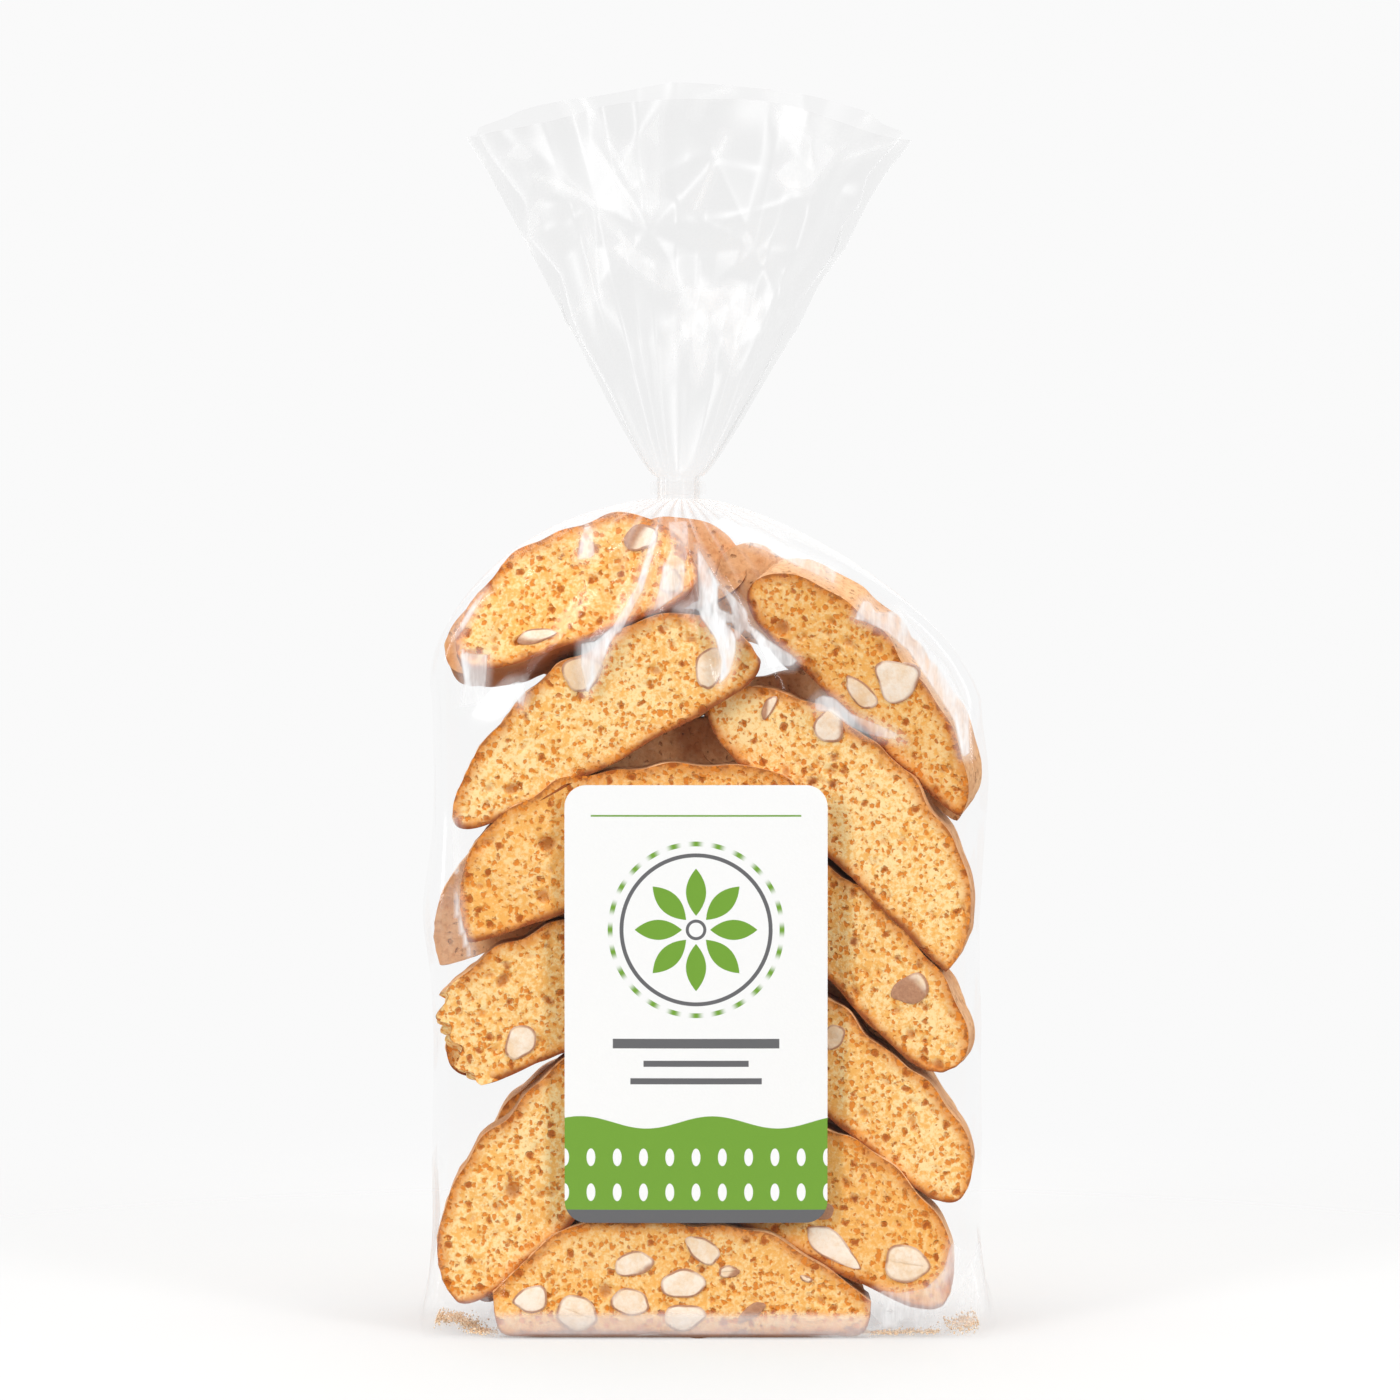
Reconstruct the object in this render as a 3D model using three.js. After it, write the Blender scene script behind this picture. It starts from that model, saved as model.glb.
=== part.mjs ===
// A tied clear bag of almond biscuits with a paper label on its front.
// Units are millimetres, +Z is up, the label faces -Y and the bag stands on its flat base.
import * as THREE from "three";

// Driving dimensions of the label, a common sticker size that sets the scale of the rest
const LABEL_WIDTH = 60;
const LABEL_HEIGHT = 100;
const LABEL_CORNER = 5;
const LABEL_THICKNESS = 0.4;
const LABEL_GAP = 0.3;
const LABEL_BOTTOM = 26.5;
const LABEL_SHIFT = 2.5;

// Driving dimensions of the filled body
const BODY_HALF_WIDTH = 62;
const BODY_HALF_DEPTH = 30;
const BODY_CORNER = 8;
const FACE_CROWN = 3;
const BASE_EDGE = 3;
const BASE_SPREAD = 2.6;
const BASE_SPREAD_HEIGHT = 26;
const BASE_CORNER = 5;
const SHOULDER_HEIGHT = 146;
const SHOULDER_ROUND = 1.7;
const SHOULDER_POINT = 0.65;
const SHOULDER_LEAN = 4.2;
const SHOULDER_LEAN_ROUND = 10;
const SHOULDER_CORNER = 15;
const ROOF_ROUND = 6;
const ROOF_POINT = 0.5;
const CORNERS_ROUND_FROM = 0.3;

// Driving dimensions of the gathered neck and of the loose film fanning out above it
const NECK_HEIGHT = 192;
const NECK_LENGTH = 5;
const NECK_RADIUS = 4.6;
const NECK_SHIFT = -6.7;
const FAN_HEIGHT = 91;
const FAN_HALF_WIDTH = 51;
const FAN_HALF_DEPTH = 21;
const FAN_QUICK_OPENING = 0.22;
const FAN_LEAN = 2.5;
const FAN_CORNER_DROP = 11;
const FAN_MOUTH_DEPTH = 60;

// Pleats of the gathered film, with the slow waves that make them uneven in place and in height
const PLEATS = 13;
const NECK_PLEAT = 0.7;
const FAN_PLEAT = 5.5;
const PLEATS_START = 0.1;
const PLEATS_FULL = 0.9;
const PLEAT_DRIFTS = [
  { waves: 2, start: 0.6, size: 0.3 },
  { waves: 5, start: 2.1, size: 0.16 },
];
const PLEAT_SWELL = { waves: 3, start: 1.3, size: 0.2 };

// Tie round the neck
const TIE_GAP = 0.4;
const TIE_THICKNESS = 0.9;
const TIE_HEIGHT = 3.2;
const TIE_EASE = 0.36;

// Fineness of the mesh
const COLUMNS = 72;
const BASE_EDGE_STEPS = [0, 0.15, 0.5, 1];
const BODY_ROWS = 12;
const SHOULDER_ROWS = 13;
const NECK_ROWS = 3;
const FAN_ROWS = 12;
const FAN_ROW_CROWDING = 1.3;
const LABEL_COLUMNS = 12;
const LABEL_CORNER_ROWS = 5;
const LABEL_STRAIGHT_ROWS = 6;
const TIE_COLUMNS = 36;

const neckTop = NECK_HEIGHT + NECK_LENGTH;
const fanTop = neckTop + FAN_HEIGHT;
const { clamp, lerp, smoothstep } = THREE.MathUtils;

// Point and outward normal at the share u of the way round a rounded rectangle, anticlockwise from +X.
// Each quarter takes a quarter of u, so the columns of stacked sections line up.
function roundedRectangle(u, halfWidth, halfDepth, corner) {
  const radius = Math.min(corner, halfWidth, halfDepth);
  const upright = halfDepth - radius;
  const arc = (Math.PI / 2) * radius;
  const level = halfWidth - radius;
  const quarter = Math.floor(u * 4) % 4;
  const share = u * 4 - Math.floor(u * 4);
  const mirrored = quarter % 2 === 1;
  const along = (mirrored ? 1 - share : share) * (upright + arc + level);
  const angle = clamp((along - upright) / radius, 0, Math.PI / 2);
  const normal = new THREE.Vector2(Math.cos(angle), Math.sin(angle));
  const point = new THREE.Vector2(
    along < upright + arc ? level + radius * normal.x : level - (along - upright - arc),
    along < upright ? along : upright + radius * normal.y,
  );
  const signs = new THREE.Vector2(quarter === 0 || quarter === 3 ? 1 : -1, quarter < 2 ? 1 : -1);
  return { point: point.multiply(signs), normal: normal.multiply(signs) };
}

// Uneven pleats round the gathered film, from -1 in a valley to 1 on a fold
function pleat(u) {
  const wave = ({ waves, start, size }) => size * Math.sin(2 * Math.PI * u * waves + start);
  const phase = PLEAT_DRIFTS.reduce((sum, drift) => sum + wave(drift), PLEATS * u);
  const toothed = 4 * Math.abs(phase - Math.floor(phase + 0.5)) - 1;
  return toothed * (1 - PLEAT_SWELL.size + wave(PLEAT_SWELL));
}

// How far the flat front and back bow out at x
function crown(x) {
  return FACE_CROWN * Math.max(0, 1 - (x / BODY_HALF_WIDTH) ** 2);
}

// Sizes of the film's section at a height below the neck: the filled body, its spread base and its shoulder.
// Across the width the shoulder is an arch that leans to the neck's side and comes to a point.
// Front to back it is a flatter roof.
function bodySection(z) {
  const rise = clamp((z - SHOULDER_HEIGHT) / (NECK_HEIGHT - SHOULDER_HEIGHT), 0, 1);
  const arch = (1 - rise ** SHOULDER_ROUND) ** SHOULDER_POINT;
  const roof = (1 - rise ** ROOF_ROUND) ** ROOF_POINT;
  const spread = BASE_SPREAD * (1 - smoothstep(z, 0, BASE_SPREAD_HEIGHT));
  const edge = z < BASE_EDGE ? BASE_EDGE - Math.sqrt(BASE_EDGE ** 2 - (BASE_EDGE - z) ** 2) : 0;
  return {
    z,
    halfWidth: lerp(NECK_RADIUS, BODY_HALF_WIDTH + spread - edge, arch),
    halfDepth: lerp(NECK_RADIUS, BODY_HALF_DEPTH + spread - edge, roof),
    corner: lerp(
      lerp(BASE_CORNER, BODY_CORNER, smoothstep(z, 0, BASE_SPREAD_HEIGHT)),
      SHOULDER_CORNER,
      smoothstep(rise, CORNERS_ROUND_FROM, 1),
    ),
    crownShare: arch * smoothstep(z, 0, BASE_SPREAD_HEIGHT),
    pleatHeight: NECK_PLEAT * smoothstep(rise, PLEATS_START, PLEATS_FULL),
    shift: (NECK_SHIFT - SHOULDER_LEAN * (1 - rise ** SHOULDER_LEAN_ROUND)) * rise,
    cornerDrop: 0,
  };
}

// Sizes of the section at a share of the way up the fan: a flat oval that opens quickly and then evenly
function fanSection(share) {
  const open = lerp(share, Math.sqrt(share), FAN_QUICK_OPENING);
  return {
    z: neckTop + FAN_HEIGHT * share,
    halfWidth: lerp(NECK_RADIUS, FAN_HALF_WIDTH, open),
    halfDepth: lerp(NECK_RADIUS, FAN_HALF_DEPTH, open),
    corner: FAN_HALF_DEPTH,
    crownShare: 0,
    pleatHeight: lerp(NECK_PLEAT, FAN_PLEAT, open),
    shift: NECK_SHIFT + FAN_LEAN * share,
    cornerDrop: FAN_CORNER_DROP * share ** 2,
  };
}

// One ring of the bag's film, as points
function ring(section) {
  const points = [];
  for (let column = 0; column < COLUMNS; column++) {
    const u = column / COLUMNS;
    const { point, normal } = roundedRectangle(u, section.halfWidth, section.halfDepth, section.corner);
    const fold = section.pleatHeight * pleat(u);
    const bow = Math.abs(normal.y) * Math.sign(point.y) * section.crownShare * crown(point.x);
    const side = Math.abs(point.x) / section.halfWidth;
    points.push(
      new THREE.Vector3(
        point.x + normal.x * fold + section.shift,
        point.y + normal.y * fold + bow,
        section.z - section.cornerDrop * side ** 2,
      ),
    );
  }
  return points;
}

// A closed solid from a stack of rings, lowest first, with a point that closes each end
function stackedRings(rings, lowPoint, highPoint) {
  const columns = rings[0].length;
  const vertices = [...rings.flat(), lowPoint, highPoint];
  const low = vertices.length - 2;
  const high = vertices.length - 1;
  const last = (rings.length - 1) * columns;
  const triangles = [];
  for (let column = 0; column < columns; column++) {
    const next = (column + 1) % columns;
    triangles.push(low, next, column, high, last + column, last + next);
    for (let row = 0; row < rings.length - 1; row++) {
      const below = row * columns;
      const above = below + columns;
      triangles.push(below + column, below + next, above + next);
      triangles.push(below + column, above + next, above + column);
    }
  }
  const geometry = new THREE.BufferGeometry().setFromPoints(vertices);
  geometry.setIndex(triangles);
  geometry.computeVertexNormals();
  return geometry;
}

// The filled bag: base, body, shoulder, neck and fan as one solid
function bagGeometry() {
  const sections = [];
  for (const step of BASE_EDGE_STEPS) {
    sections.push(bodySection(BASE_EDGE * step));
  }
  for (let row = 1; row <= BODY_ROWS; row++) {
    sections.push(bodySection(lerp(BASE_EDGE, SHOULDER_HEIGHT, row / BODY_ROWS)));
  }
  for (let row = 1; row <= SHOULDER_ROWS; row++) {
    const turned = Math.sin((Math.PI / 2) * (row / SHOULDER_ROWS));
    sections.push(bodySection(lerp(SHOULDER_HEIGHT, NECK_HEIGHT, turned)));
  }
  for (let row = 1; row < NECK_ROWS; row++) {
    const z = NECK_HEIGHT + NECK_LENGTH * (row / NECK_ROWS);
    sections.push({ ...fanSection(0), z });
  }
  for (let row = 0; row <= FAN_ROWS; row++) {
    sections.push(fanSection((row / FAN_ROWS) ** FAN_ROW_CROWDING));
  }
  const base = new THREE.Vector3(0, 0, 0);
  const mouth = new THREE.Vector3(NECK_SHIFT, 0, fanTop - FAN_MOUTH_DEPTH);
  return stackedRings(sections.map(ring), base, mouth);
}

// The label: a thin plate with round corners that lies along the bowed front, built in level rows
function labelGeometry() {
  const rows = [];
  for (let step = 0; step <= LABEL_CORNER_ROWS; step++) {
    const angle = (Math.PI / 2) * (step / LABEL_CORNER_ROWS);
    rows.push({
      z: LABEL_CORNER * (1 - Math.cos(angle)),
      halfWidth: LABEL_WIDTH / 2 - LABEL_CORNER * (1 - Math.sin(angle)),
    });
  }
  const corners = [...rows];
  for (let step = 1; step < LABEL_STRAIGHT_ROWS; step++) {
    const straight = LABEL_HEIGHT - 2 * LABEL_CORNER;
    rows.push({ z: LABEL_CORNER + straight * (step / LABEL_STRAIGHT_ROWS), halfWidth: LABEL_WIDTH / 2 });
  }
  for (const corner of corners.reverse()) {
    rows.push({ z: LABEL_HEIGHT - corner.z, halfWidth: corner.halfWidth });
  }

  const sheet = (lift) =>
    rows.map(({ z, halfWidth }) =>
      Array.from({ length: LABEL_COLUMNS + 1 }, (_, column) => {
        const x = lerp(-halfWidth, halfWidth, column / LABEL_COLUMNS) - LABEL_SHIFT;
        const y = -(BODY_HALF_DEPTH + crown(x) + LABEL_GAP + lift);
        return new THREE.Vector3(x, y, z + LABEL_BOTTOM);
      }),
    );
  const back = sheet(0);
  const front = sheet(LABEL_THICKNESS);
  const outline = (grid) => [
    ...grid[0],
    ...grid.slice(1, -1).map((row) => row.at(-1)),
    ...grid.at(-1).toReversed(),
    ...grid.slice(1, -1).toReversed().map((row) => row[0]),
  ];

  const corner = [];
  const quad = (a, b, c, d) => corner.push(a, b, c, a, c, d);
  for (let row = 0; row < rows.length - 1; row++) {
    for (let column = 0; column < LABEL_COLUMNS; column++) {
      const [f, g] = [front[row], front[row + 1]];
      const [b, c] = [back[row], back[row + 1]];
      quad(f[column], f[column + 1], g[column + 1], g[column]);
      quad(b[column], c[column], c[column + 1], b[column + 1]);
    }
  }
  const frontEdge = outline(front);
  const backEdge = outline(back);
  frontEdge.forEach((point, index) => {
    const next = (index + 1) % frontEdge.length;
    quad(point, backEdge[index], backEdge[next], frontEdge[next]);
  });
  const geometry = new THREE.BufferGeometry().setFromPoints(corner);
  geometry.computeVertexNormals();
  return geometry;
}

// The tie: a flat band with eased edges round the gathered neck
function tieGeometry() {
  const inner = NECK_RADIUS + NECK_PLEAT + TIE_GAP;
  const outer = inner + TIE_THICKNESS;
  const half = TIE_HEIGHT / 2;
  const profile = [
    [inner, -half + TIE_EASE],
    [inner + TIE_EASE, -half],
    [outer - TIE_EASE, -half],
    [outer, -half + TIE_EASE],
    [outer, half - TIE_EASE],
    [outer - TIE_EASE, half],
    [inner + TIE_EASE, half],
    [inner, half - TIE_EASE],
    [inner, -half + TIE_EASE],
  ].map(([x, y]) => new THREE.Vector2(x, y));
  return new THREE.LatheGeometry(profile, TIE_COLUMNS);
}

const filmMaterial = new THREE.MeshStandardMaterial({ color: 0xe0a65a, roughness: 0.25, metalness: 0 });
const labelMaterial = new THREE.MeshStandardMaterial({ color: 0xf7f7f5, roughness: 0.45, metalness: 0 });
const tieMaterial = new THREE.MeshStandardMaterial({ color: 0xeeeeec, roughness: 0.4, metalness: 0 });

const bag = new THREE.Mesh(bagGeometry(), filmMaterial);
bag.name = "bag";

const label = new THREE.Mesh(labelGeometry(), labelMaterial);
label.name = "label";

const tie = new THREE.Mesh(tieGeometry(), tieMaterial);
tie.name = "tie";
tie.rotation.x = Math.PI / 2;
tie.position.set(NECK_SHIFT, 0, NECK_HEIGHT + NECK_LENGTH / 2);

// The origin is at the base, under the middle of the whole pack
const contents = new THREE.Group();
contents.add(bag, label, tie);
const box = new THREE.Box3().setFromObject(contents, true);
const middle = box.getCenter(new THREE.Vector3());
contents.position.set(-middle.x, -middle.y, -box.min.z);

const pack = new THREE.Group();
pack.add(contents);

export default pack;
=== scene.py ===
import math

import bpy
import numpy as np
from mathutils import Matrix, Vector


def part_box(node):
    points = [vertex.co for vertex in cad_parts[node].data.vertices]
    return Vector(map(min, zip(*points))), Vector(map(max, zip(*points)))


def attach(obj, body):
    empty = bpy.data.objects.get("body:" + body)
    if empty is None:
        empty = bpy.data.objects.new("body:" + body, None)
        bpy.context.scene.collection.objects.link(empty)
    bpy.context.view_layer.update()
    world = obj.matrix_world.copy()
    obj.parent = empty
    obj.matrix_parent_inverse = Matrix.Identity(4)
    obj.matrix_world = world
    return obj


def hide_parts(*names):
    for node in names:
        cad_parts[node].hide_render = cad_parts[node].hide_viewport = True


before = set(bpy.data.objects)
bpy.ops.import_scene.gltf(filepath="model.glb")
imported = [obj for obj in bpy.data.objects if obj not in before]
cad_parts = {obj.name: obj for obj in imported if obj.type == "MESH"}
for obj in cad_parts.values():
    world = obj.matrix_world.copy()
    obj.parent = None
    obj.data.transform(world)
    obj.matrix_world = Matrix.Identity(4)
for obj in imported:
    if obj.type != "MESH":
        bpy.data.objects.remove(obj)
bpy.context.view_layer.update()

# The bag: a tube of thin clear film with a flat folded base, gathered above the biscuits and tied.
# It is taut over the slices, creased where it is drawn in to the neck, and loose in a fan above that.
# Sizes and places are in millimetres.
MM = 0.001
BODY_HALF_WIDTH = 62.8
BODY_HALF_DEPTH = 30.0
BODY_CORNER = 3.5
FACE_CROWN = 3.0
BASE_EDGE = 0.7
BASE_LIFT = 0.25
BASE_SPREAD = 2.6
BASE_SPREAD_HEIGHT = 26.0
SHOULDER_HEIGHT = 146.0
SHOULDER_ROUND = 1.7
SHOULDER_POINT = 0.65
SHOULDER_LEAN = 4.2
SHOULDER_LEAN_ROUND = 10.0
SHOULDER_CORNER = 15.0
ROOF_ROUND = 6.0
ROOF_POINT = 0.5
CORNERS_ROUND_FROM = 0.3
NECK_LENGTH = 5.0
NECK_RADIUS = 4.6
FAN_HALF_WIDTH = 51.0
FAN_HALF_DEPTH = 21.0
FAN_QUICK_OPENING = 0.22
FAN_LEAN = 2.5
FAN_CORNER_DROP = 11.0
FAN_RAGGED_DROP = 1.1
PLEATS = 13
PLEAT_DRIFTS = [(2, 0.6, 0.3), (5, 2.1, 0.16)]
PLEAT_SWELL = (3, 1.3, 0.2)
PLEATS_START = 0.1
PLEATS_FULL = 0.9
NECK_PLEAT = 0.7
FAN_PLEAT = 1.7
FOLD_SHARPNESS = 0.985
FOLD_SEED = 21
FILM_COLUMNS = 384
BASE_ROWS = 6
BODY_ROWS = 108
SHOULDER_ROWS = 58
NECK_ROWS = 6
FAN_ROWS = 74
SHARP_ANGLE = 55.0
# Heights between which the body's facets begin and fade out
FACETS_BEGIN = (4.0, 30.0)
FACETS_FADE = (150.0, 185.0)
# How far below the neck gathers and creases reach, and where they end just under it
GATHER_REACHES = (12.0, 46.0)
GATHERS_END = 7.0
PULLS_END = 6.0
CRINKLE_REACHES = (6.0, 26.0)
LABEL_MARGIN = 8.0
# Where the fan is crumpled most: the middle and reach up the fan, and the middle and reach across
CRUMPLES_UP = (0.42, 0.15)
CRUMPLES_ACROSS = (4.0, 16.0)
# Haze of the gathered film: at the tie, and in lines that fade below the neck
TIE_HAZE = 0.1
TIE_HAZE_REACH = 9.0
LINE_HAZE = 0.5
LINE_HAZE_REACH = 11.0
HAZE_LINES = 43

# Where slices press the film's sides out: side, height and how far
PRESSES = [(1, 128.0, 1.6), (-1, 95.0, 2.2)]
PRESS_REACH = 13.0
PRESS_SIDES = (50.0, 60.0)
# Waves that make facets: waves round the film, rise for one wave, and size
BODY_FACETS = [(5, 61.0, 0.30), (9, -43.0, 0.22), (14, 87.0, 0.16), (3, -29.0, 0.12)]
FAN_CRUMPLES = [(5, 23.0, 0.6), (-9, 15.0, 0.45), (14, 19.0, 0.3)]
# Ridges at random places: how many, and the ranges of their widths, as shares of a turn, and heights
NECK_GATHERS = dict(count=34, widths=(0.006, 0.014), heights=(0.1, 0.5))
BASE_CRINKLES = dict(count=40, widths=(0.003, 0.010), heights=(0.3, 1.5))
FAN_FOLDS = dict(count=9, widths=(0.020, 0.045), heights=(-1.3, 1.3))
# Long creases on the front, each from the neck to a place (x, z), with a width and a height there
PULLS = [
    (-26, 146, 8, 1.6), (-27, 178, 4, 0.8), (2, 146, 8, -1.8), (9, 162, 4, 1.0),
    (-55, 130, 9, 1.6), (-12, 128, 5, 0.6), (22, 138, 5, 0.6), (58, 136, 9, 0.2),
]
PULL_STEEP_FLANK = 0.45
PULL_START_WIDTH = 0.3
# Shares of the way along a crease over which it rises, and over which it falls
PULL_RISE = (0.08, 0.4)
PULL_FALL = (0.78, 1.0)
# Points of the fan from which folds spread: side (-1 front), x, height above the neck, folds, start and size
STARS = [
    (-1, -6.5, 57, 5, 0.10, 1.0), (-1, 33, 70, 5, 0.35, 0.9),
    (1, -20, 66, 5, 0.45, 0.9), (1, 18, 55, 5, 0.15, 0.9),
]
STAR_SLOPE = 0.12
STAR_REACH = 24.0
# Painted highlights on the flat flanks of creases on the front, and a few milky veils that also lighten what
# lies under them: how white each is, and its corners in x, z
SHARDS = [
    (0.55, [(-27.8, 186.8), (-26, 184.5), (-25.7, 178.4), (-29.8, 177.8), (-29, 182)]),
    (0.72, [(-11, 187), (-11.4, 182.5), (-12.9, 177), (-14.6, 171), (-17.2, 166), (-20, 160.8),
            (-21.9, 162), (-18.4, 167.5), (-16.1, 172), (-14.2, 178), (-12.6, 183)]),
    (0.92, [(-20, 162), (-22.3, 158.5), (-24.2, 153), (-27.4, 147.2), (-28.6, 153.5), (-28.6, 158.9),
            (-25.5, 159.2), (-22, 162.2)]),
    (0.42, [(-8.8, 186.5), (-4.6, 186.8), (-4, 181), (-5, 176.5), (-9.8, 176.5), (-8.3, 180)]),
    (0.72, [(-9.9, 177), (-5, 177.5), (-5.4, 170.6), (-9, 168.2), (-12.8, 165.4), (-11, 171)]),
    (0.90, [(-2.2, 180.8), (0.4, 176.5), (2.5, 172.5), (2.4, 168), (3.6, 164.4), (6.6, 160.4),
            (6.4, 156.5), (5.4, 152.4), (2.9, 149.4), (3.2, 155), (1.9, 160), (-1.6, 165), (-1.9, 172)]),
    (0.72, [(2.4, 173.2), (5.6, 170), (9, 166.4), (9.3, 164.8), (7.4, 159.4), (6.6, 161.2), (5.9, 166)]),
    (0.72, [(-7, 166.8), (-2, 168.4), (2, 167), (8, 164.4), (13.2, 160.4), (12.8, 159.2), (7, 162.8),
            (1, 165.4), (-3, 166.6)]),
    (0.85, [(8, 163.2), (13, 160.2), (20.8, 155.2), (19.3, 153.6), (13.8, 153.4), (12.8, 156.5),
            (10.5, 160.5)]),
    (0.85, [(-56.6, 158.2), (-54.5, 156.6), (-50.1, 156.2), (-50.5, 150), (-51, 145), (-56.2, 144.6),
            (-55.3, 150)]),
    (0.80, [(-44.4, 148.8), (-42, 150.2), (-41.2, 147), (-42, 144.2), (-43.2, 145.4)]),
    (0.60, [(-51.2, 145.2), (-44, 149.9), (-42.8, 150.1), (-47, 146.8)]),
    (0.75, [(-50.4, 171), (-53.4, 165.6), (-57, 159.6), (-57.9, 160.2), (-54.4, 166.4), (-51, 171)]),
    (0.55, [(1, 186.4), (7, 182), (12, 180.4), (19.5, 177), (29, 172.4), (29.8, 175.4), (20, 180),
            (12, 184), (4, 187.4)]),
    (0.80, [(33.6, 164.4), (35.5, 168.4), (37.3, 168.6), (38.4, 165.9), (44, 166.2), (47, 162.2),
            (51, 157.2), (54.2, 154), (57.2, 147.5), (59.8, 143), (59.9, 133), (58.2, 133), (56.5, 141),
            (52, 148), (46, 157), (41, 161.4), (36, 163.7)]),
    (0.62, [(24.3, 145.6), (26, 147), (29, 146.4), (33, 142.7), (37, 141.2), (43, 138.5), (45.2, 136.2),
            (41, 137.1), (36, 138.1), (33, 139.6), (28, 143.3), (25, 143.3)]),
    (0.70, [(-57.9, 104), (-56.6, 101), (-55.9, 95), (-53.4, 87.6), (-54.6, 87.2), (-57.2, 94)]),
    (0.12, [(-58.5, 105), (-64, 93), (-63.3, 87), (-61, 85), (-56, 86), (-54, 88), (-56.5, 96),
            (-57.8, 103)]),
    (0.45, [(-57, 119), (-56.3, 112), (-56.6, 106), (-57.8, 106), (-58, 112), (-58.4, 119)]),
    (0.55, [(28, 0.6), (36, 2), (45, 5.6), (52, 9), (57, 12.8), (60.2, 17), (62.4, 21.5), (63.2, 20),
            (61.2, 15), (57.4, 10.8), (52.2, 7.2), (45, 3.8), (36, 0.6)]),
    (0.30, [(37, 2), (45, 3.4), (52.2, 6.8), (57.4, 10.4), (61.4, 14.6), (63.4, 17), (64, 6), (60, 3),
            (50, 1.4)]),
    (0.55, [(37.5, 10), (40, 7), (44, 4.4), (40, 3.2), (37.2, 5.5)]),
    (0.50, [(39, 11), (44, 10.4), (50, 11.4), (54, 15), (56, 22), (58.2, 20), (57.6, 12), (55, 5.4),
            (46, 4.2), (40, 7.4)]),
    (0.22, [(-64.4, 6), (-63.8, 18), (-62.8, 40), (-61.6, 40), (-62.2, 18), (-62.4, 6)]),
    (0.25, [(-62, 9), (-57, 8), (-50, 9.5), (-49, 4.5), (-55, 5), (-62, 7)]),
    (0.45, [(-33.8, 284), (-32.4, 284.4), (-14.6, 257), (-15.8, 256.2)]),
    (0.45, [(-30, 284.6), (-28.6, 285), (-12, 257), (-13.2, 256.2)]),
    (0.34, [(-20.4, 272.5), (-16, 274), (-11.1, 280.2), (-10.8, 258), (-13.2, 259), (-17.5, 266)]),
    (0.36, [(-47, 270.6), (-43.1, 274.6), (-38.5, 274.3), (-41.1, 269.7)]),
    (0.42, [(-40.5, 267.2), (-34.6, 265.2), (-26.7, 261.3), (-20.1, 254), (-15.5, 248.6), (-16.5, 247.4),
            (-21.3, 252.6), (-27.6, 259.6), (-34.8, 263.6), (-40.5, 265.6)]),
    (0.30, [(-28, 257.2), (-24.7, 248), (-23.4, 238.7), (-31.6, 233.5), (-27.6, 241.4)]),
    (0.30, [(-42.6, 250), (-41, 258.5), (-36.5, 263.7), (-39.2, 254.5)]),
    (0.42, [(-22.7, 250.6), (-16.1, 249.3), (-8.2, 244), (-4.9, 238.7), (-9.5, 240), (-17.4, 245.3)]),
    (0.55, [(-5.3, 241), (1, 240.2), (6, 241.6), (12.5, 237.4), (10.9, 232.1), (6.3, 229), (2.4, 231),
            (-5, 228.5), (-7.4, 234.8)]),
    (0.50, [(-8.6, 232.6), (-5.4, 230), (-7, 224.6), (-9.6, 220.8), (-10.2, 225.5)]),
    (0.48, [(-3.6, 230.4), (1, 231.4), (0.2, 224), (-1.6, 219.4), (-3, 224.2)]),
    (0.45, [(3.4, 231), (7.2, 230), (7.8, 225.2), (6.4, 221.2), (4.4, 225.4)]),
    (0.45, [(14, 284.8), (18.1, 278.2), (24.7, 274.9), (30, 271.6), (27.6, 268.4), (23.4, 263.1),
            (18.1, 263.1), (15.5, 266.4), (19.4, 270.3), (17.6, 274.3)]),
    (0.40, [(29.4, 272.3), (37.2, 280.4), (38.6, 279.6), (30.8, 271.5)]),
    (0.36, [(21.4, 280.8), (30.4, 274.6), (29.6, 273.6), (21, 279.6)]),
    (0.40, [(31.3, 270.8), (45, 275.6), (45.4, 274.6), (31.5, 269.8)]),
    (0.36, [(-3.5, 279.5), (-2.2, 284.4), (6, 286.4), (6.3, 285.2), (-1, 283.4), (-2.3, 279.5)]),
    (0.35, [(4, 275.8), (-3.4, 258.3), (-2.2, 258.1), (5, 275.2)]),
]
SHARD_LIMIT = 3.0
bag_low, bag_high = (np.array(corner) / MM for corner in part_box("bag"))
tie_low, tie_high = (np.array(corner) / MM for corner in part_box("tie"))
label_low, label_high = (np.array(corner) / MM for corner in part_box("label"))
bag_centre = (bag_low + bag_high) / 2
tie_centre = (tie_low + tie_high) / 2
label_centre = (label_low + label_high) / 2
label_half_width, _, label_half_height = (label_high - label_low) / 2
neck_low = tie_centre[2] - NECK_LENGTH / 2
neck_high = tie_centre[2] + NECK_LENGTH / 2
neck_shift = tie_centre[0] - bag_centre[0]
fan_height = bag_high[2] - neck_high


def ease(value, low, high):
    """0 up to low, 1 from high on, and a smooth rise between."""
    share = np.clip((value - low) / (high - low), 0.0, 1.0)
    return share * share * (3.0 - 2.0 * share)


def lerp(first, last, share):
    return first + (last - first) * share


def hump(value, middle, reach):
    """1 at the middle, and less on both sides as on a bell curve."""
    return np.exp(-(((value - middle) / reach) ** 2))


def crown(x):
    """How far the flat front and back bow out at x."""
    return FACE_CROWN * np.maximum(0.0, 1.0 - (x / BODY_HALF_WIDTH) ** 2)


def pressed(x, z):
    """How far the slices that press on the film push its sides out."""
    out = sum(push * hump(z, height, PRESS_REACH) * (x * side > 0.0) for side, height, push in PRESSES)
    return out * ease(np.abs(x), *PRESS_SIDES)


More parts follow.
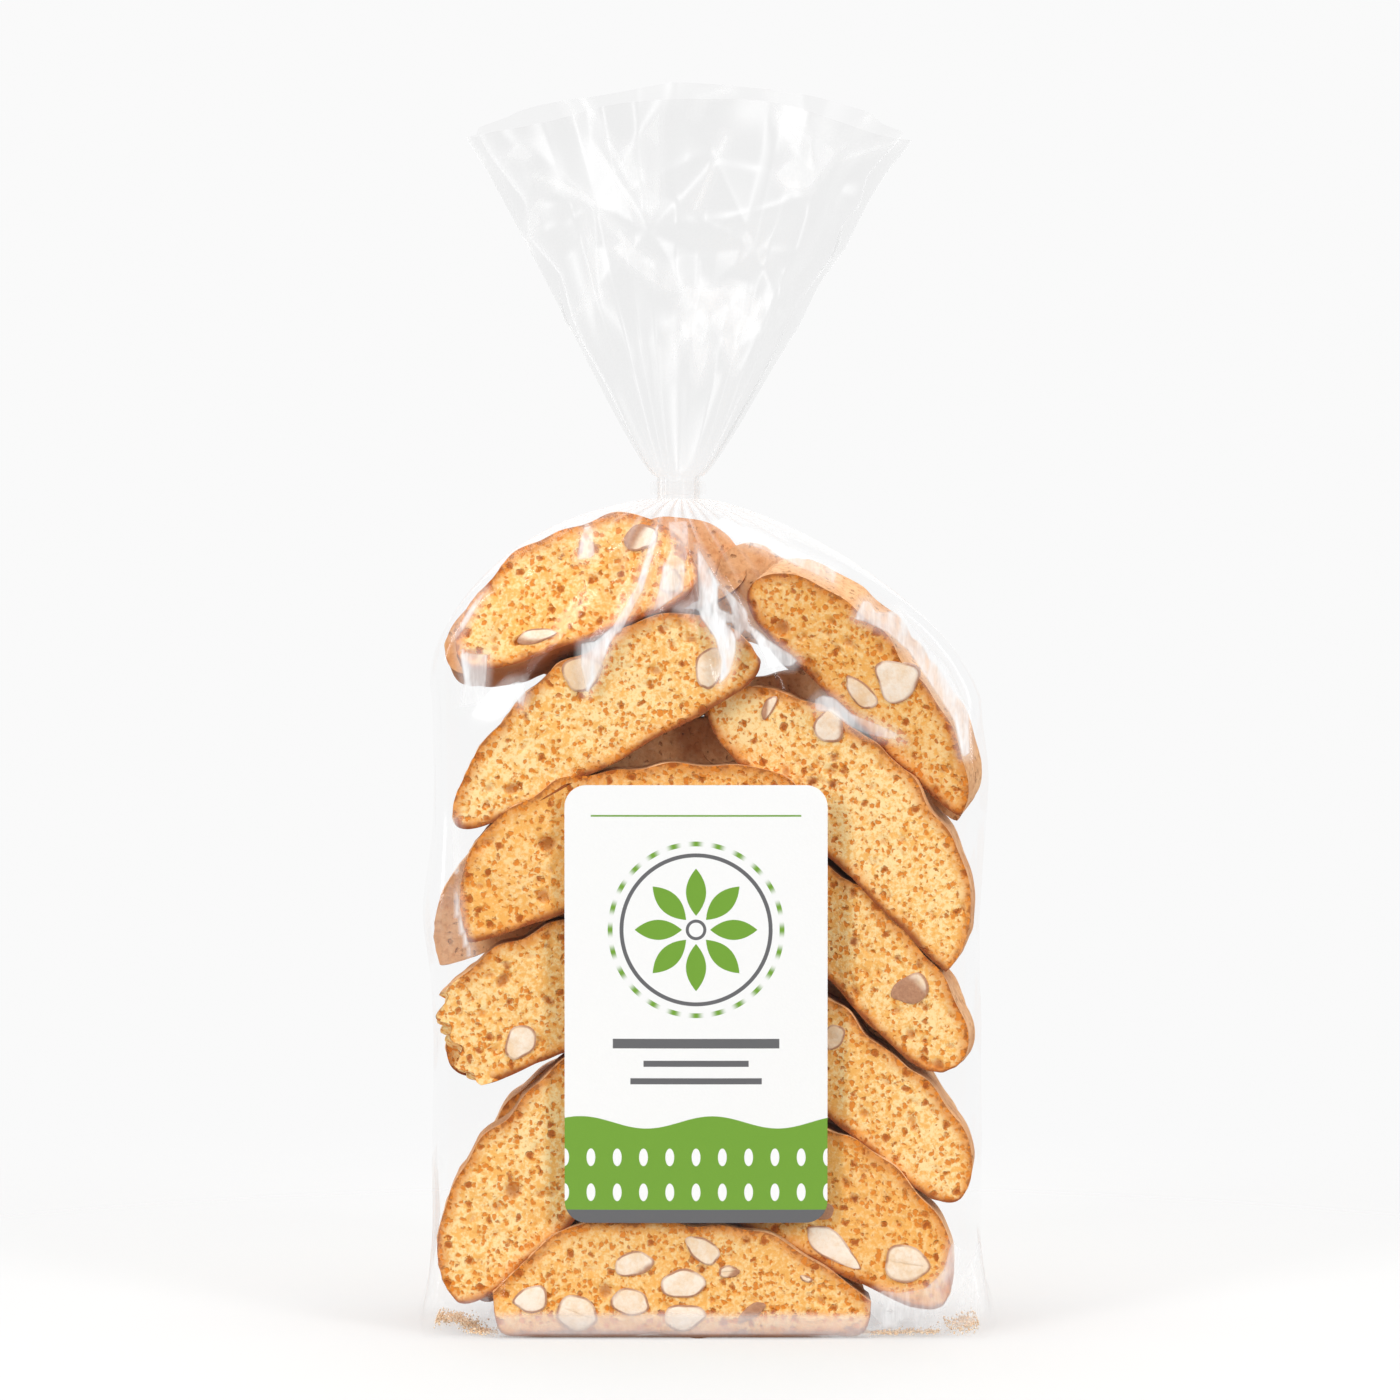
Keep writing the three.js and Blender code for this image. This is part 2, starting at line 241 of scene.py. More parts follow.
def body_section(z):
    """Sizes of the film's section at heights below the neck."""
    rise = np.clip((z - SHOULDER_HEIGHT) / (neck_low - SHOULDER_HEIGHT), 0.0, 1.0)
    arch = (1.0 - rise**SHOULDER_ROUND) ** SHOULDER_POINT
    roof = (1.0 - rise**ROOF_ROUND) ** ROOF_POINT
    spread = BASE_SPREAD * (1.0 - ease(z, 0.0, BASE_SPREAD_HEIGHT))
    under_edge = np.clip(BASE_EDGE - z, 0.0, BASE_EDGE)
    edge = BASE_EDGE - np.sqrt(BASE_EDGE**2 - under_edge**2)
    return {
        "z": z,
        "half_width": lerp(NECK_RADIUS, BODY_HALF_WIDTH + spread - edge, arch),
        "half_depth": lerp(NECK_RADIUS, BODY_HALF_DEPTH + spread - edge, roof),
        "corner": lerp(BODY_CORNER, SHOULDER_CORNER, ease(rise, CORNERS_ROUND_FROM, 1.0)),
        "bow": arch * ease(z, 0.0, BASE_SPREAD_HEIGHT),
        "pleat": NECK_PLEAT * ease(rise, PLEATS_START, PLEATS_FULL),
        "shift": (neck_shift - SHOULDER_LEAN * (1.0 - rise**SHOULDER_LEAN_ROUND)) * rise,
        "drop": 0.0 * z,
    }


def fan_section(share):
    """Sizes of the section at shares of the way up the fan, which opens quickly and then evenly."""
    opened = lerp(share, np.sqrt(share), FAN_QUICK_OPENING)
    return {
        "z": neck_high + fan_height * share,
        "half_width": lerp(NECK_RADIUS, FAN_HALF_WIDTH, opened),
        "half_depth": lerp(NECK_RADIUS, FAN_HALF_DEPTH, opened),
        "corner": FAN_HALF_DEPTH + 0.0 * share,
        "bow": 0.0 * share,
        "pleat": lerp(NECK_PLEAT, FAN_PLEAT, opened),
        "shift": neck_shift + FAN_LEAN * share,
        "drop": FAN_CORNER_DROP * share**2,
    }


def round_rectangle(turn, half_width, half_depth, corner):
    """x, y and the outward normal at shares of a turn round a rounded rectangle, anticlockwise from +X."""
    radius = np.minimum(corner, np.minimum(half_width, half_depth))
    upright = half_depth - radius
    arc = math.pi / 2 * radius
    level = half_width - radius
    quarter = np.floor(turn * 4).astype(int) % 4
    share = turn * 4 - np.floor(turn * 4)
    along = np.where(quarter % 2 == 1, 1.0 - share, share) * (upright + arc + level)
    angle = np.clip((along - upright) / radius, 0.0, math.pi / 2)
    x = np.where(along < upright + arc, level + radius * np.cos(angle), level - (along - upright - arc))
    y = np.where(along < upright, along, upright + radius * np.sin(angle))
    sign_x = np.where((quarter == 0) | (quarter == 3), 1.0, -1.0)
    sign_y = np.where(quarter < 2, 1.0, -1.0)
    return x * sign_x, y * sign_y, np.cos(angle) * sign_x, np.sin(angle) * sign_y


def zigzag(phase):
    """A wave of straight flanks with slightly rounded ridges, from -1 to 1, one wave for each whole phase."""
    return np.arcsin(FOLD_SHARPNESS * np.sin(2 * math.pi * phase)) * 2 / math.pi


def wave(turn, count, start, size):
    """A smooth wave round the film."""
    return size * np.sin(2 * math.pi * turn * count + start)


def pleat(turn):
    """The gathered film's main pleats, uneven in place and height, with a valley at +X."""
    phase = PLEATS * turn
    for drift in PLEAT_DRIFTS:
        phase = phase + wave(turn, *drift)
    return zigzag(phase - 0.25) * (1.0 - PLEAT_SWELL[-1] + wave(turn, *PLEAT_SWELL))


def facets(turn, z, waves, draw):
    """Flat facets from waves that slant round the film, each with a random start."""
    return sum(size * zigzag(count * turn + z / rise + draw.uniform()) for count, rise, size in waves)


def ridges(turn, draw, count, widths, heights):
    """Pairs of a ridge's cross profile round the film and a draw for its own reach, at random places."""
    for _ in range(count):
        place = draw.uniform(0.0, 1.0)
        width = draw.uniform(*widths)
        height = draw.uniform(*heights)
        away = np.abs((turn - place + 0.5) % 1.0 - 0.5)
        yield height * np.maximum(0.0, 1.0 - away / width), draw.uniform(0.0, 1.0)


def pull(x, z, end_x, end_z, width, height):
    """A crease drawn from the neck to a place on the front: it widens on the way, with one flank steeper."""
    ahead_x = end_x - neck_shift
    ahead_z = end_z - neck_low
    length = math.hypot(ahead_x, ahead_z)
    along = ((x - neck_shift) * ahead_x + (z - neck_low) * ahead_z) / length**2
    aside = ((x - neck_shift) * ahead_z - (z - neck_low) * ahead_x) / length
    widening = lerp(PULL_START_WIDTH, 1.0, np.clip(along, 0.0, 1.0))
    flank = width * np.where(aside > 0.0, 1.0, PULL_STEEP_FLANK) * widening
    rise = ease(along, *PULL_RISE) * (1.0 - ease(along, *PULL_FALL))
    return height * np.maximum(0.0, 1.0 - np.abs(aside) / flank) * rise


def star(x, z, place, height, folds, start, size):
    """Flat folds that spread from one point of the fan."""
    across = x - (neck_shift + place)
    up = z - (neck_high + height)
    reach = np.hypot(across, up)
    fade = 1.0 - ease(reach, STAR_REACH, 2.0 * STAR_REACH)
    spread = STAR_SLOPE * size * np.minimum(reach, STAR_REACH)
    return spread * zigzag(folds * np.arctan2(up, across) / (2 * math.pi) + start) * fade


def film_folds(turn, x, y, z, share):
    """How far the film stands out from its plain section: facets, creases to the neck, a crumpled fan."""
    draw = np.random.default_rng(FOLD_SEED)
    front = y < 0.0
    folds = facets(turn, z, BODY_FACETS, draw) * ease(z, *FACETS_BEGIN) * (1.0 - ease(z, *FACETS_FADE))
    fade = 1.0 - ease(z, neck_low - GATHERS_END, neck_low)
    for ridge, chance in ridges(turn, draw, **NECK_GATHERS):
        reach = lerp(*GATHER_REACHES, chance**1.5)
        folds = folds + ridge * (ease(z, neck_low - reach, neck_low - 0.25 * reach) * fade)
    below_neck = 1.0 - ease(z, neck_low - PULLS_END, neck_low)
    for end_x, *crease in PULLS:
        folds = folds + pull(x, z, end_x, *crease) * front * below_neck
        folds = folds + pull(x, z, end_x * draw.uniform(-1.2, 1.2), *crease) * ~front * below_neck
    for ridge, chance in ridges(turn, draw, **BASE_CRINKLES):
        folds = folds + ridge * (1.0 - ease(z, 2.0, lerp(*CRINKLE_REACHES, chance))) * ease(z, 0.2, 2.0)
    folds = folds + pressed(x, z)

    for ridge, chance in ridges(turn, draw, **FAN_FOLDS):
        start = lerp(0.0, 0.5, chance)
        folds = folds + ridge * ease(share, start, start + 0.3) * (1.0 - 0.7 * ease(share, 0.5, 0.8))
    loose = ease(np.abs(y), 0.0, 6.0) * ease(share, 0.02, 0.3)
    for side, *fold in STARS:
        folds = folds + star(x, z, *fold) * loose * (front if side < 0 else ~front)
    crumpled = hump(share, *CRUMPLES_UP) * hump(x, *CRUMPLES_ACROSS)
    folds = folds + loose * crumpled * facets(turn, z, FAN_CRUMPLES, draw)

    beside = np.abs(x - label_centre[0]) - label_half_width
    above = np.abs(z - label_centre[2]) - label_half_height
    under_label = (1.0 - ease(np.maximum(beside, above), 0.0, LABEL_MARGIN)) * front
    return folds * (1.0 - under_label)


def shard_depth(x, z, outline):
    """How far points of the front are inside a shard's outline, and below 0 how far outside."""
    away = np.full(x.shape, SHARD_LIMIT)
    inside = np.zeros(x.shape, bool)
    for (x0, z0), (x1, z1) in zip(outline, outline[1:] + outline[:1]):
        ahead_x = x1 - x0
        ahead_z = z1 - z0
        share = np.clip(((x - x0) * ahead_x + (z - z0) * ahead_z) / (ahead_x**2 + ahead_z**2), 0.0, 1.0)
        away = np.minimum(away, np.hypot(x - x0 - share * ahead_x, z - z0 - share * ahead_z))
        between = (z0 > z) != (z1 > z)
        inside ^= between & (x < x0 + (z - z0) * ahead_x / (ahead_z if ahead_z else 1.0))
    return np.where(inside, away, -away)


def shards(x, z):
    """The depth inside the nearest painted highlight shard at points of the front, and how white that shard
    is.
    """
    depth = np.full(x.shape, -SHARD_LIMIT)
    whiteness = np.zeros(x.shape)
    for white, outline in SHARDS:
        own = shard_depth(x, z, outline)
        whiteness = np.where(own > depth, white, whiteness)
        depth = np.maximum(depth, own)
    return depth, whiteness


def film_grid():
    """The film's points in rows from the base up, with haze, depth in painted highlight shards and their
    whiteness at each.
    """
    bend = np.linspace(0.0, math.pi / 2, BASE_ROWS)
    arch = np.linspace(0.0, math.pi / 2, SHOULDER_ROWS)
    sections = [
        body_section(BASE_EDGE * (1.0 - np.cos(bend))),
        body_section(np.linspace(BASE_EDGE, SHOULDER_HEIGHT, BODY_ROWS)[1:]),
        body_section(lerp(SHOULDER_HEIGHT, neck_low, np.sin(arch))[1:]),
        dict(fan_section(np.zeros(NECK_ROWS)), z=np.linspace(neck_low, neck_high, NECK_ROWS + 2)[1:-1]),
        fan_section(np.linspace(0.0, 1.0, FAN_ROWS) ** 1.15),
    ]
    section = {key: np.concatenate([part[key] for part in sections])[:, None] for key in sections[0]}
    turn = (np.arange(FILM_COLUMNS) / FILM_COLUMNS)[None, :]
    sizes = (section[key] for key in ("half_width", "half_depth", "corner"))
    x, y, normal_x, normal_y = round_rectangle(turn, *sizes)
    z = section["z"] + 0.0 * turn
    share = np.clip((z - neck_high) / fan_height, 0.0, 1.0)
    stand = section["pleat"] * pleat(turn) + film_folds(turn, x + section["shift"], y, z, share)
    bow = np.abs(normal_y) * np.sign(y) * section["bow"] * crown(x)
    side = np.abs(x) / section["half_width"]
    ragged = 1.0 + (1.3 * zigzag(3 * turn + 0.2) + 0.9 * zigzag(7 * turn + 0.6)) / 2.2
    across = x + normal_x * stand + section["shift"] + bag_centre[0]
    deep = y + normal_y * stand + bow + bag_centre[1]
    up = z - section["drop"] * side**2 - FAN_RAGGED_DROP * ease(share, 0.85, 1.0) * ragged
    lines = ease(zigzag(HAZE_LINES * turn + wave(turn, 5, 0.0, 0.4)), 0.15, 1.0)
    from_neck = np.hypot(across - tie_centre[0], (z - neck_low) * (z < neck_low))
    haze = TIE_HAZE * hump(z, tie_centre[2], TIE_HAZE_REACH)
    haze = haze + LINE_HAZE * lines * np.exp(-from_neck / LINE_HAZE_REACH) * (z < neck_low)
    depth, white = shards(across, up)
    return np.stack([across, deep, up], axis=-1), haze, np.where(y < 0.0, depth, -SHARD_LIMIT), white


def grid_faces(rows, columns, closed=False, first=0):
    """Four-sided faces of a grid of points in rows, with the last column joined to the first if closed."""
    down = np.arange(rows - 1)[:, None] * columns
    left = np.arange(columns if closed else columns - 1)[None, :]
    right = (left + 1) % columns
    corners = [down + left, down + right, down + columns + right, down + columns + left]
    return np.stack([corner.ravel() for corner in corners], axis=-1) + first


def fan_faces(middle, columns):
    """Triangles between a middle point and the first row of a grid."""
    around = np.arange(columns)
    return np.stack([np.full(columns, middle), around, (around + 1) % columns], axis=-1)


def mesh_piece(name, shape, material, point_values=(), face_values=()):
    """A smooth mesh object from a shape's points, its blocks of faces and its values for the finish."""
    mesh = bpy.data.meshes.new(name)
    faces = [face for block in shape["faces"] for face in block.tolist()]
    mesh.from_pydata((shape["points"] * MM).tolist(), [], faces)
    for domain, keys in (("POINT", point_values), ("FACE", face_values)):
        for key in keys:
            attribute = mesh.attributes.new(key, "FLOAT", domain)
            attribute.data.foreach_set("value", np.asarray(shape[key], np.float32))
    mesh.shade_smooth()
    mesh.set_sharp_from_angle(angle=math.radians(SHARP_ANGLE))
    mesh.materials.append(material)
    piece = bpy.data.objects.new(name, mesh)
    bpy.context.scene.collection.objects.link(piece)
    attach(piece, "root")
    return piece


def srgb(red, green, blue):
    """A colour as seen, in 0 to 255, as the linear values that shaders take."""
    shares = np.array([red, green, blue]) / 255
    linear = np.where(shares <= 0.04045, shares / 12.92, ((shares + 0.055) / 1.055) ** 2.4)
    return (*linear.tolist(), 1.0)


def grey(share):
    return (share, share, share, 1.0)


class Paint:
    """One output of a material's nodes. Operators add Math nodes, and other methods the rest."""

    def __init__(self, tree, socket=None):
        self.tree = tree
        self.socket = socket

    def node(self, kind, sockets=None, output=0, **settings):
        """One output of a new node with these settings and these values or links on its sockets."""
        made = self.tree.nodes.new("ShaderNode" + kind)
        for name, value in settings.items():
            setattr(made, name, value)
        for name, value in (sockets or {}).items():
            if isinstance(value, Paint):
                self.tree.links.new(value.socket, made.inputs[name])
            else:
                made.inputs[name].default_value = value
        return Paint(self.tree, made.outputs[output])

    def maths(self, operation, first, second=0.0):
        return self.node("Math", {0: first, 1: second}, operation=operation)

    def __add__(self, other):
        return self.maths("ADD", self, other)

    __radd__ = __add__

    def __sub__(self, other):
        return self.maths("SUBTRACT", self, other)

    def __rsub__(self, other):
        return self.maths("SUBTRACT", other, self)

    def __mul__(self, other):
        return self.maths("MULTIPLY", self, other)

    __rmul__ = __mul__

    def __truediv__(self, other):
        return self.maths("DIVIDE", self, other)

    def __rtruediv__(self, other):
        return self.maths("DIVIDE", other, self)

    def __pow__(self, other):
        return self.maths("POWER", self, other)

    def __abs__(self):
        return self.maths("ABSOLUTE", self)

    def most(self, other):
        return self.maths("MAXIMUM", self, other)

    def step(self, low, high):
        """0 at low, 1 at high and a smooth rise between."""
        limits = {"Value": self, "From Min": low, "From Max": high}
        return self.node("MapRange", limits, interpolation_type="SMOOTHSTEP")

    def between(self, first, last):
        """The colour between two others at this share."""
        return self.node("Mix", {0: self, 6: first, 7: last}, 2, data_type="RGBA")

    def under(self, *layers):
        """This colour under layers, each a share and a colour as seen."""
        colour = self
        for share, seen in layers:
            colour = share.between(colour, srgb(*seen))
        return colour

    def blend(self, first, last):
        """The shader between two others at this share."""
        return self.node("MixShader", {0: self, 1: first, 2: last})

    def attribute(self, name):
        return self.node("Attribute", None, "Fac", attribute_name=name)

    def place(self):
        return self.node("TexCoord", None, "Object")

    def axis(self, name, vector):
        return self.node("SeparateXYZ", {0: vector}, name)

    def noise(self, scale, detail=2.0, rough=0.5, vector=None, output=0):
        sockets = {"Scale": scale, "Detail": detail, "Roughness": rough, "Vector": vector or self.place()}
        return self.node("TexNoise", sockets, output)

    def spots(self, scale, vector, share, size):
        """Round spots of random sizes in a share of a texture's cells: depths inside their edge, in cells."""
        away = self.node("TexVoronoi", {"Scale": scale, "Vector": vector})
        colour = Paint(self.tree, away.socket.node.outputs["Color"])
        draw = self.node("SeparateColor", {0: colour})
        return draw.step(1.0 - share, 1.0) * size - away

    def facing(self):
        """0 where a surface faces the eye and 1 at a glancing angle, for gloss."""
        return self.node("LayerWeight", {"Blend": 0.5}, "Facing")

    def shader(self, kind, colour, **sockets):
        return self.node("Bsdf" + kind, {"Color": colour, **sockets})

    def solid(self, colour, rough, heights, depth, gloss=0.5):
        """A solid's surface, with a bump of heights of 0 to 1 that stand for a depth in metres."""
        normal = self.node("Bump", {"Height": heights, "Distance": depth, "Strength": 1.0})
        sockets = {"Base Color": colour, "Roughness": rough, "Specular IOR Level": gloss, "Normal": normal}
        return self.node("BsdfPrincipled", sockets)


def finished(bare, look, output="OutputMaterial"):
    """A bare material, or world, with the shader that a look's function makes as its surface."""
    bare.use_nodes = True
    bare.node_tree.nodes.clear()
    paint = Paint(bare.node_tree)
    paint.tree.links.new(look(paint).socket, paint.tree.nodes.new("ShaderNode" + output).inputs["Surface"])
    return bare


def clear_film(paint):
    """Clear film: it reflects little head on and more at a glancing angle, is milky where folded, and has
    painted highlights on flanks of creases and a painted shadow line along its foot.
    """
    place = paint.place()
    across, depth, height = (paint.axis(name, place) for name in "XYZ")
    loose = height.step(0.185, 0.21)
    clear = loose.blend(paint.shader("Transparent", grey(0.994)), paint.shader("Transparent", grey(0.964)))
    gloss = paint.shader("Glossy", grey(1.0), Roughness=0.12 + 0.26 * loose)
    glance = (0.07 + 0.08 * loose) * paint.facing() ** 5
    film = ((0.017 + 0.024 * loose + glance) * height.step(0.002, 0.02)).blend(clear, gloss)

    front = 1.0 - depth.step(-0.030, -0.026)
    folded = front * (1.0 - abs(across + 0.0055).step(0.040, 0.047))
    hem_top = height + 0.002 * (paint.noise(45.0) - 0.5)
    hem = (0.3 + 0.24 * paint.noise(420.0, 3.0, 0.6)) * folded * (1.0 - hem_top.step(0.0044, 0.0066))
    # Along the foot of the front a thin brownish grey line is painted: a painted shadow where the bag meets
    # the floor.
    base_shadow_line = front * (1.0 - abs(across + 0.008).step(0.030, 0.040)) * (1.0 - height.step(0.0005, 0.0012))

    # The shards are painted highlights: milky white laid where flanks of creases would catch the light,
    # streaky, and broken up in the fan.
    drawn = paint.node("VectorMath", {0: place, 1: (1.0, 1.0, 0.25)}, operation="MULTIPLY")
    grooves = paint.noise(330.0, 3.0, 0.6, drawn).step(0.3, 0.7)
    streaks = 0.55 + 0.65 * grooves - 0.35 * (grooves - 0.5) * loose
    broken = 1.0 - 0.65 * loose * paint.noise(130.0, 1.0).step(0.42, 0.66)
    shard = paint.attribute("shard")
    highlight_mask = (shard.step(-0.5, 0.45) * streaks * broken).most(0.3 * shard.step(-2.2, 0.0))
    painted_highlight = highlight_mask * paint.attribute("white")

    haze_and_highlight_white = (0.75 * loose).blend(paint.shader("Diffuse", grey(0.88)), paint.shader("Translucent", grey(0.99)))
    haze_highlight_and_shadow = base_shadow_line.blend(haze_and_highlight_white, paint.shader("Diffuse", srgb(150, 120, 104)))
    return (paint.attribute("haze") + hem).most(painted_highlight).most(0.75 * base_shadow_line).blend(film, haze_highlight_and_shadow)


film_points, *film_looks = film_grid()
film_rows = len(film_points)
base_middle = np.array([[bag_centre[0], bag_centre[1], BASE_LIFT]])
film_shape = {
    "points": np.concatenate([film_points.reshape(-1, 3), base_middle]),
    "faces": [
        grid_faces(film_rows, FILM_COLUMNS, closed=True),
        fan_faces(film_rows * FILM_COLUMNS, FILM_COLUMNS)[:, [0, 2, 1]],
    ],
}
for look, values, at_middle in zip(("haze", "shard", "white"), film_looks, (0.0, -SHARD_LIMIT, 0.0)):
    film_shape[look] = np.append(values.ravel(), at_middle)
film_finish = finished(bpy.data.materials.new("clear_film"), clear_film)
film = mesh_piece("bag_film", film_shape, film_finish, ("haze", "shard", "white"))
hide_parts("bag")

# The biscuits: slices of a baked almond loaf, dried in the oven a second time.
# Each has a flat underside, a domed crust and two cut faces of open golden crumb, and they are packed on edge
# in stacks from front to back, rising to the middle from both sides.
SLICE_DEPTH = 16.0
CRUST_DEPTHS = [0.35, 2.4, SLICE_DEPTH / 2, SLICE_DEPTH - 2.4, SLICE_DEPTH - 0.35]
HEEL_ROUND = 7.0
SQUARE_HEEL_ROUND = 40.0
BARE_BY_BREAK = 3.0
FILM_CLEARANCE = 0.7
FINE_GRID = (120, 38)
PLAIN_GRID = (56, 9)
SLICE_SEED = 7
# How far the cut face dips, the depth of a full hole, and how far in the crust browns it and the sole darkens
# it, partly burnt and partly painted shade
FACE_DIP = 0.25
FULL_HOLE = 1.3
RIM_REACH = 2.8
SOLE_REACH = 1.8
POINT_VALUES = ("hole", "rim", "sole", "tone")
FACE_VALUES = ("crust", "under")
# Holes in the crumb: how many on a face, their range of half lengths, and depth as a share of that
CRUMB_HOLES = [(26, (0.7, 1.1), 0.8), (7, (1.1, 1.6), 0.7), (2, (1.7, 2.6), 0.6)]


def stack_of(x, z, tilt, size, **own):
    """A stack of slices as the front shows it, with what is usual for one unless it has values of its own.

    x and z are the middle of the underside, tilt is the underside's, and size is the length and height.
    heels are the heights of the left and right heel as shares of the height. The face leans back by lean and
    turns aside by turn. round is how square the dome is, and skew how far its top is off the middle, or ramps
    are the shares of the half length over which a flat top rises from each end. broken is where the left end
    is broken off. toast is how dark the slice is baked. The slice behind is shifted by behind, and end says
    that it is the loaf's crusty end. Of a hidden stack only that slice is made, and moved forward.
    nuts are those cut through on the front face, as (x, z, length, width, angle, brown).
    """
    usual = dict(
        heels=(0.26, 0.26), lean=0, turn=0, round=2.1, skew=0.0, toast=0.0, behind=(0, 0), end=True,
        crusty=False, hidden=False, forward=0.0, nuts=[],
    )
    return dict(usual, x=x, z=z, tilt=tilt, size=size, **own)


STACKS = [
    stack_of(
        -30.2, 160, 20, (58.5, 26.6), lean=17, turn=2, round=2.3, skew=0.25, toast=0.2, behind=(15.5, 1.5),
        nuts=[(-15.2, 183, 8, 6, 20, 0.45), (-39, 160.4, 9, 3.4, 12, 0.25), (-8.2, 173, 6, 4.5, 70, 0.1)],
    ),
    stack_of(-36.5, 158, 20, (56, 24), lean=12, turn=2, round=2.3, skew=0.25, toast=0.2, hidden=True),
    stack_of(14, 157, -20, (36, 24), heels=(0.7, 0.4), round=4.0, toast=0.8, hidden=True),
    stack_of(
        -20.6, 132.2, 27.8, (79, 26), heels=(0.16, 0.2), turn=1, round=2.2, skew=0.3, behind=(2, 0),
        end=False,
        nuts=[(-28.3, 152, 9.2, 7.8, 15, 0), (0.6, 152.8, 9.6, 6.6, 75, 0)],
    ),
    stack_of(
        -15.4, 103.8, 20.5, (83, 27.8), heels=(0.05, 0.26), turn=1, skew=-0.3, toast=0.6,
        behind=(-10.5, -8),
    ),
    stack_of(-3, 119, 12, (58, 25), round=2.0, toast=0.6, hidden=True, forward=4.5),
    stack_of(20, 129, 0, (46, 25), round=5.0, toast=0.8, hidden=True, forward=4.5),
    stack_of(
        -26.2, 67.3, 21.4, (84, 28.4), turn=1, toast=0.2, behind=(10, 4), end=False, broken=-30,
        nuts=[(-43, 67, 8.5, 6.5, 55, 0)],
    ),
    stack_of(-25, 33.4, 43.2, (85, 28.8), heels=(0.18, 0.26), turn=1, behind=(5, -3.2), end=False),
    stack_of(
        -5.7, 0.3, 0, (86.4, 26), heels=(0.38, 0.3), ramps=(0.55, 0.87), toast=0.45, behind=(2, 0), end=False,
        nuts=[
            (-40.5, 8.6, 8, 6, 10, 0), (-29.5, 5.4, 9.5, 8, -20, 0), (-16.6, 16.8, 9, 5.6, 10, 0.15),
            (-17.4, 8, 8.8, 6.2, -10, 0), (-1, 20, 8.7, 5.3, -35, 0), (-5.7, 12.2, 10.3, 6.6, 5, 0),
            (-5, 4.6, 9.5, 6, 8, 0), (5, 15, 4.8, 2.8, 0, 0.35), (10, 5.6, 7.5, 2.8, 35, 1),
            (22.7, 13.4, 3, 1.5, -20, 0),
        ],
    ),
    stack_of(
        33.2, 143, -44, (71, 19.8), heels=(0.35, 0.08), lean=-17, turn=-2, round=2.2, skew=-0.2, toast=0.6,
        behind=(5, -3.5), nuts=[(43, 150.6, 10.5, 9.6, -40, 0), (35, 147.6, 9.4, 4.8, -48, 0)],
    ),
    stack_of(
        27.4, 112.2, -45, (82, 26), heels=(0.25, 0.02), turn=-6, skew=0.03, toast=-0.2, behind=(0.5, 1),
        nuts=[(14.2, 144, 6, 2.6, 62, 0.4), (28.1, 140, 8.2, 6.7, 80, 0.1)],
    ),
    stack_of(
        29.5, 81.4, -45, (70, 20.5), heels=(0.26, 0.42), turn=-8, round=3.0, toast=0.15, behind=(0, 1.5),
        nuts=[(46.4, 79.4, 9, 6.4, 20, 0.75)],
    ),
    stack_of(
        26, 51.5, -39.6, (75, 21), heels=(0.26, 0.25), turn=-4, round=3.2, toast=0.1, behind=(0.5, 3.5),
        nuts=[(29, 68.5, 6, 5, 60, 0)],
    ),
    stack_of(
        18.8, 19.9, -26.5, (75, 28.8), heels=(0.26, 0.2), turn=-3, round=2.6, skew=-0.08, toast=0.8,
        behind=(1, 1),
        nuts=[(29, 20.2, 15.5, 6, -38, 0), (45.7, 16.6, 10.3, 8.7, -8, 0), (26.7, 28.4, 5, 3.5, 20, 1)],
    ),
]


def room_depth(x, z):
    """Half the depth that the film leaves at points x, z of the body, measured from the bag's middle."""
    section = body_section(z)
    level = section["half_width"] + pressed(x, z) - section["corner"]
    into_corner = np.clip(np.abs(x - bag_centre[0] - section["shift"]) - level, 0.0, section["corner"])
    rounding = section["corner"] - np.sqrt(section["corner"] ** 2 - into_corner**2)
    return section["half_depth"] - rounding + section["bow"] * crown(x) - FILM_CLEARANCE


def side_shift(x, z):
    """How far a slice with these points has to move sideways to be inside the film."""
    section = body_section(z)
    off_middle = x - bag_centre[0] - section["shift"]
    reach = section["half_width"] + pressed(x, z) - FILM_CLEARANCE
    return max(0.0, np.max(-off_middle - reach)) - max(0.0, np.max(off_middle - reach))


def rotation(first, second, degrees):
    """The matrix of a turn that takes the first axis towards the second."""
    angle = math.radians(degrees)
    matrix = np.eye(3)
    matrix[first, first] = math.cos(angle)
    matrix[second, second] = math.cos(angle)
    matrix[second, first] = math.sin(angle)
    matrix[first, second] = -math.sin(angle)
    return matrix


def turned(form):
    """The matrix that takes a slice's own length, depth and height to the bag's x, y and z."""
    return rotation(0, 1, form["turn"]) @ rotation(0, 2, form["tilt"]) @ rotation(2, 1, form["lean"])


def slow_waves(draw, place, lengths, size):
    """A smooth uneven line: a few waves of given lengths with random starts."""
    waves = (np.sin(2 * math.pi * (place / length + draw.uniform())) for length in lengths)
    return sum(size / len(lengths) * wave for wave in waves)


def slice_outline(form, columns, draw):
    """Places along the slice, and the heights of its underside and dome there."""
    length, height = form["size"]
    share = np.sin(np.linspace(-math.pi / 2, math.pi / 2, columns + 1))
    heel = height * lerp(*form["heels"], ease(share, -0.6, 0.6))
    if "ramps" in form:
        left, right = form["ramps"]
        ramp = np.minimum(np.minimum((1.0 + share) / left, (1.0 - share) / right), 1.0)
        dome = np.sin(math.pi / 2 * ramp)
        foot = np.sqrt((1.0 - np.abs(share) ** SQUARE_HEEL_ROUND).clip(0.0))
    else:
        leaning = share - form["skew"] * (1.0 - share**2)
        dome = np.sqrt((1.0 - np.abs(leaning) ** form["round"]).clip(0.0))
        foot = np.sqrt((1.0 - np.abs(share) ** HEEL_ROUND).clip(0.0))
    along = share * length / 2
    uneven = slow_waves(draw, along, (47.0, 23.0, 13.0), 1.4) * (1.0 - share**2)
    hollow = slow_waves(draw, along, (61.0, 19.0), 0.5) * (1.0 - share**2)
    return along, heel * (1.0 - foot) + hollow, heel + (height - heel) * dome + uneven


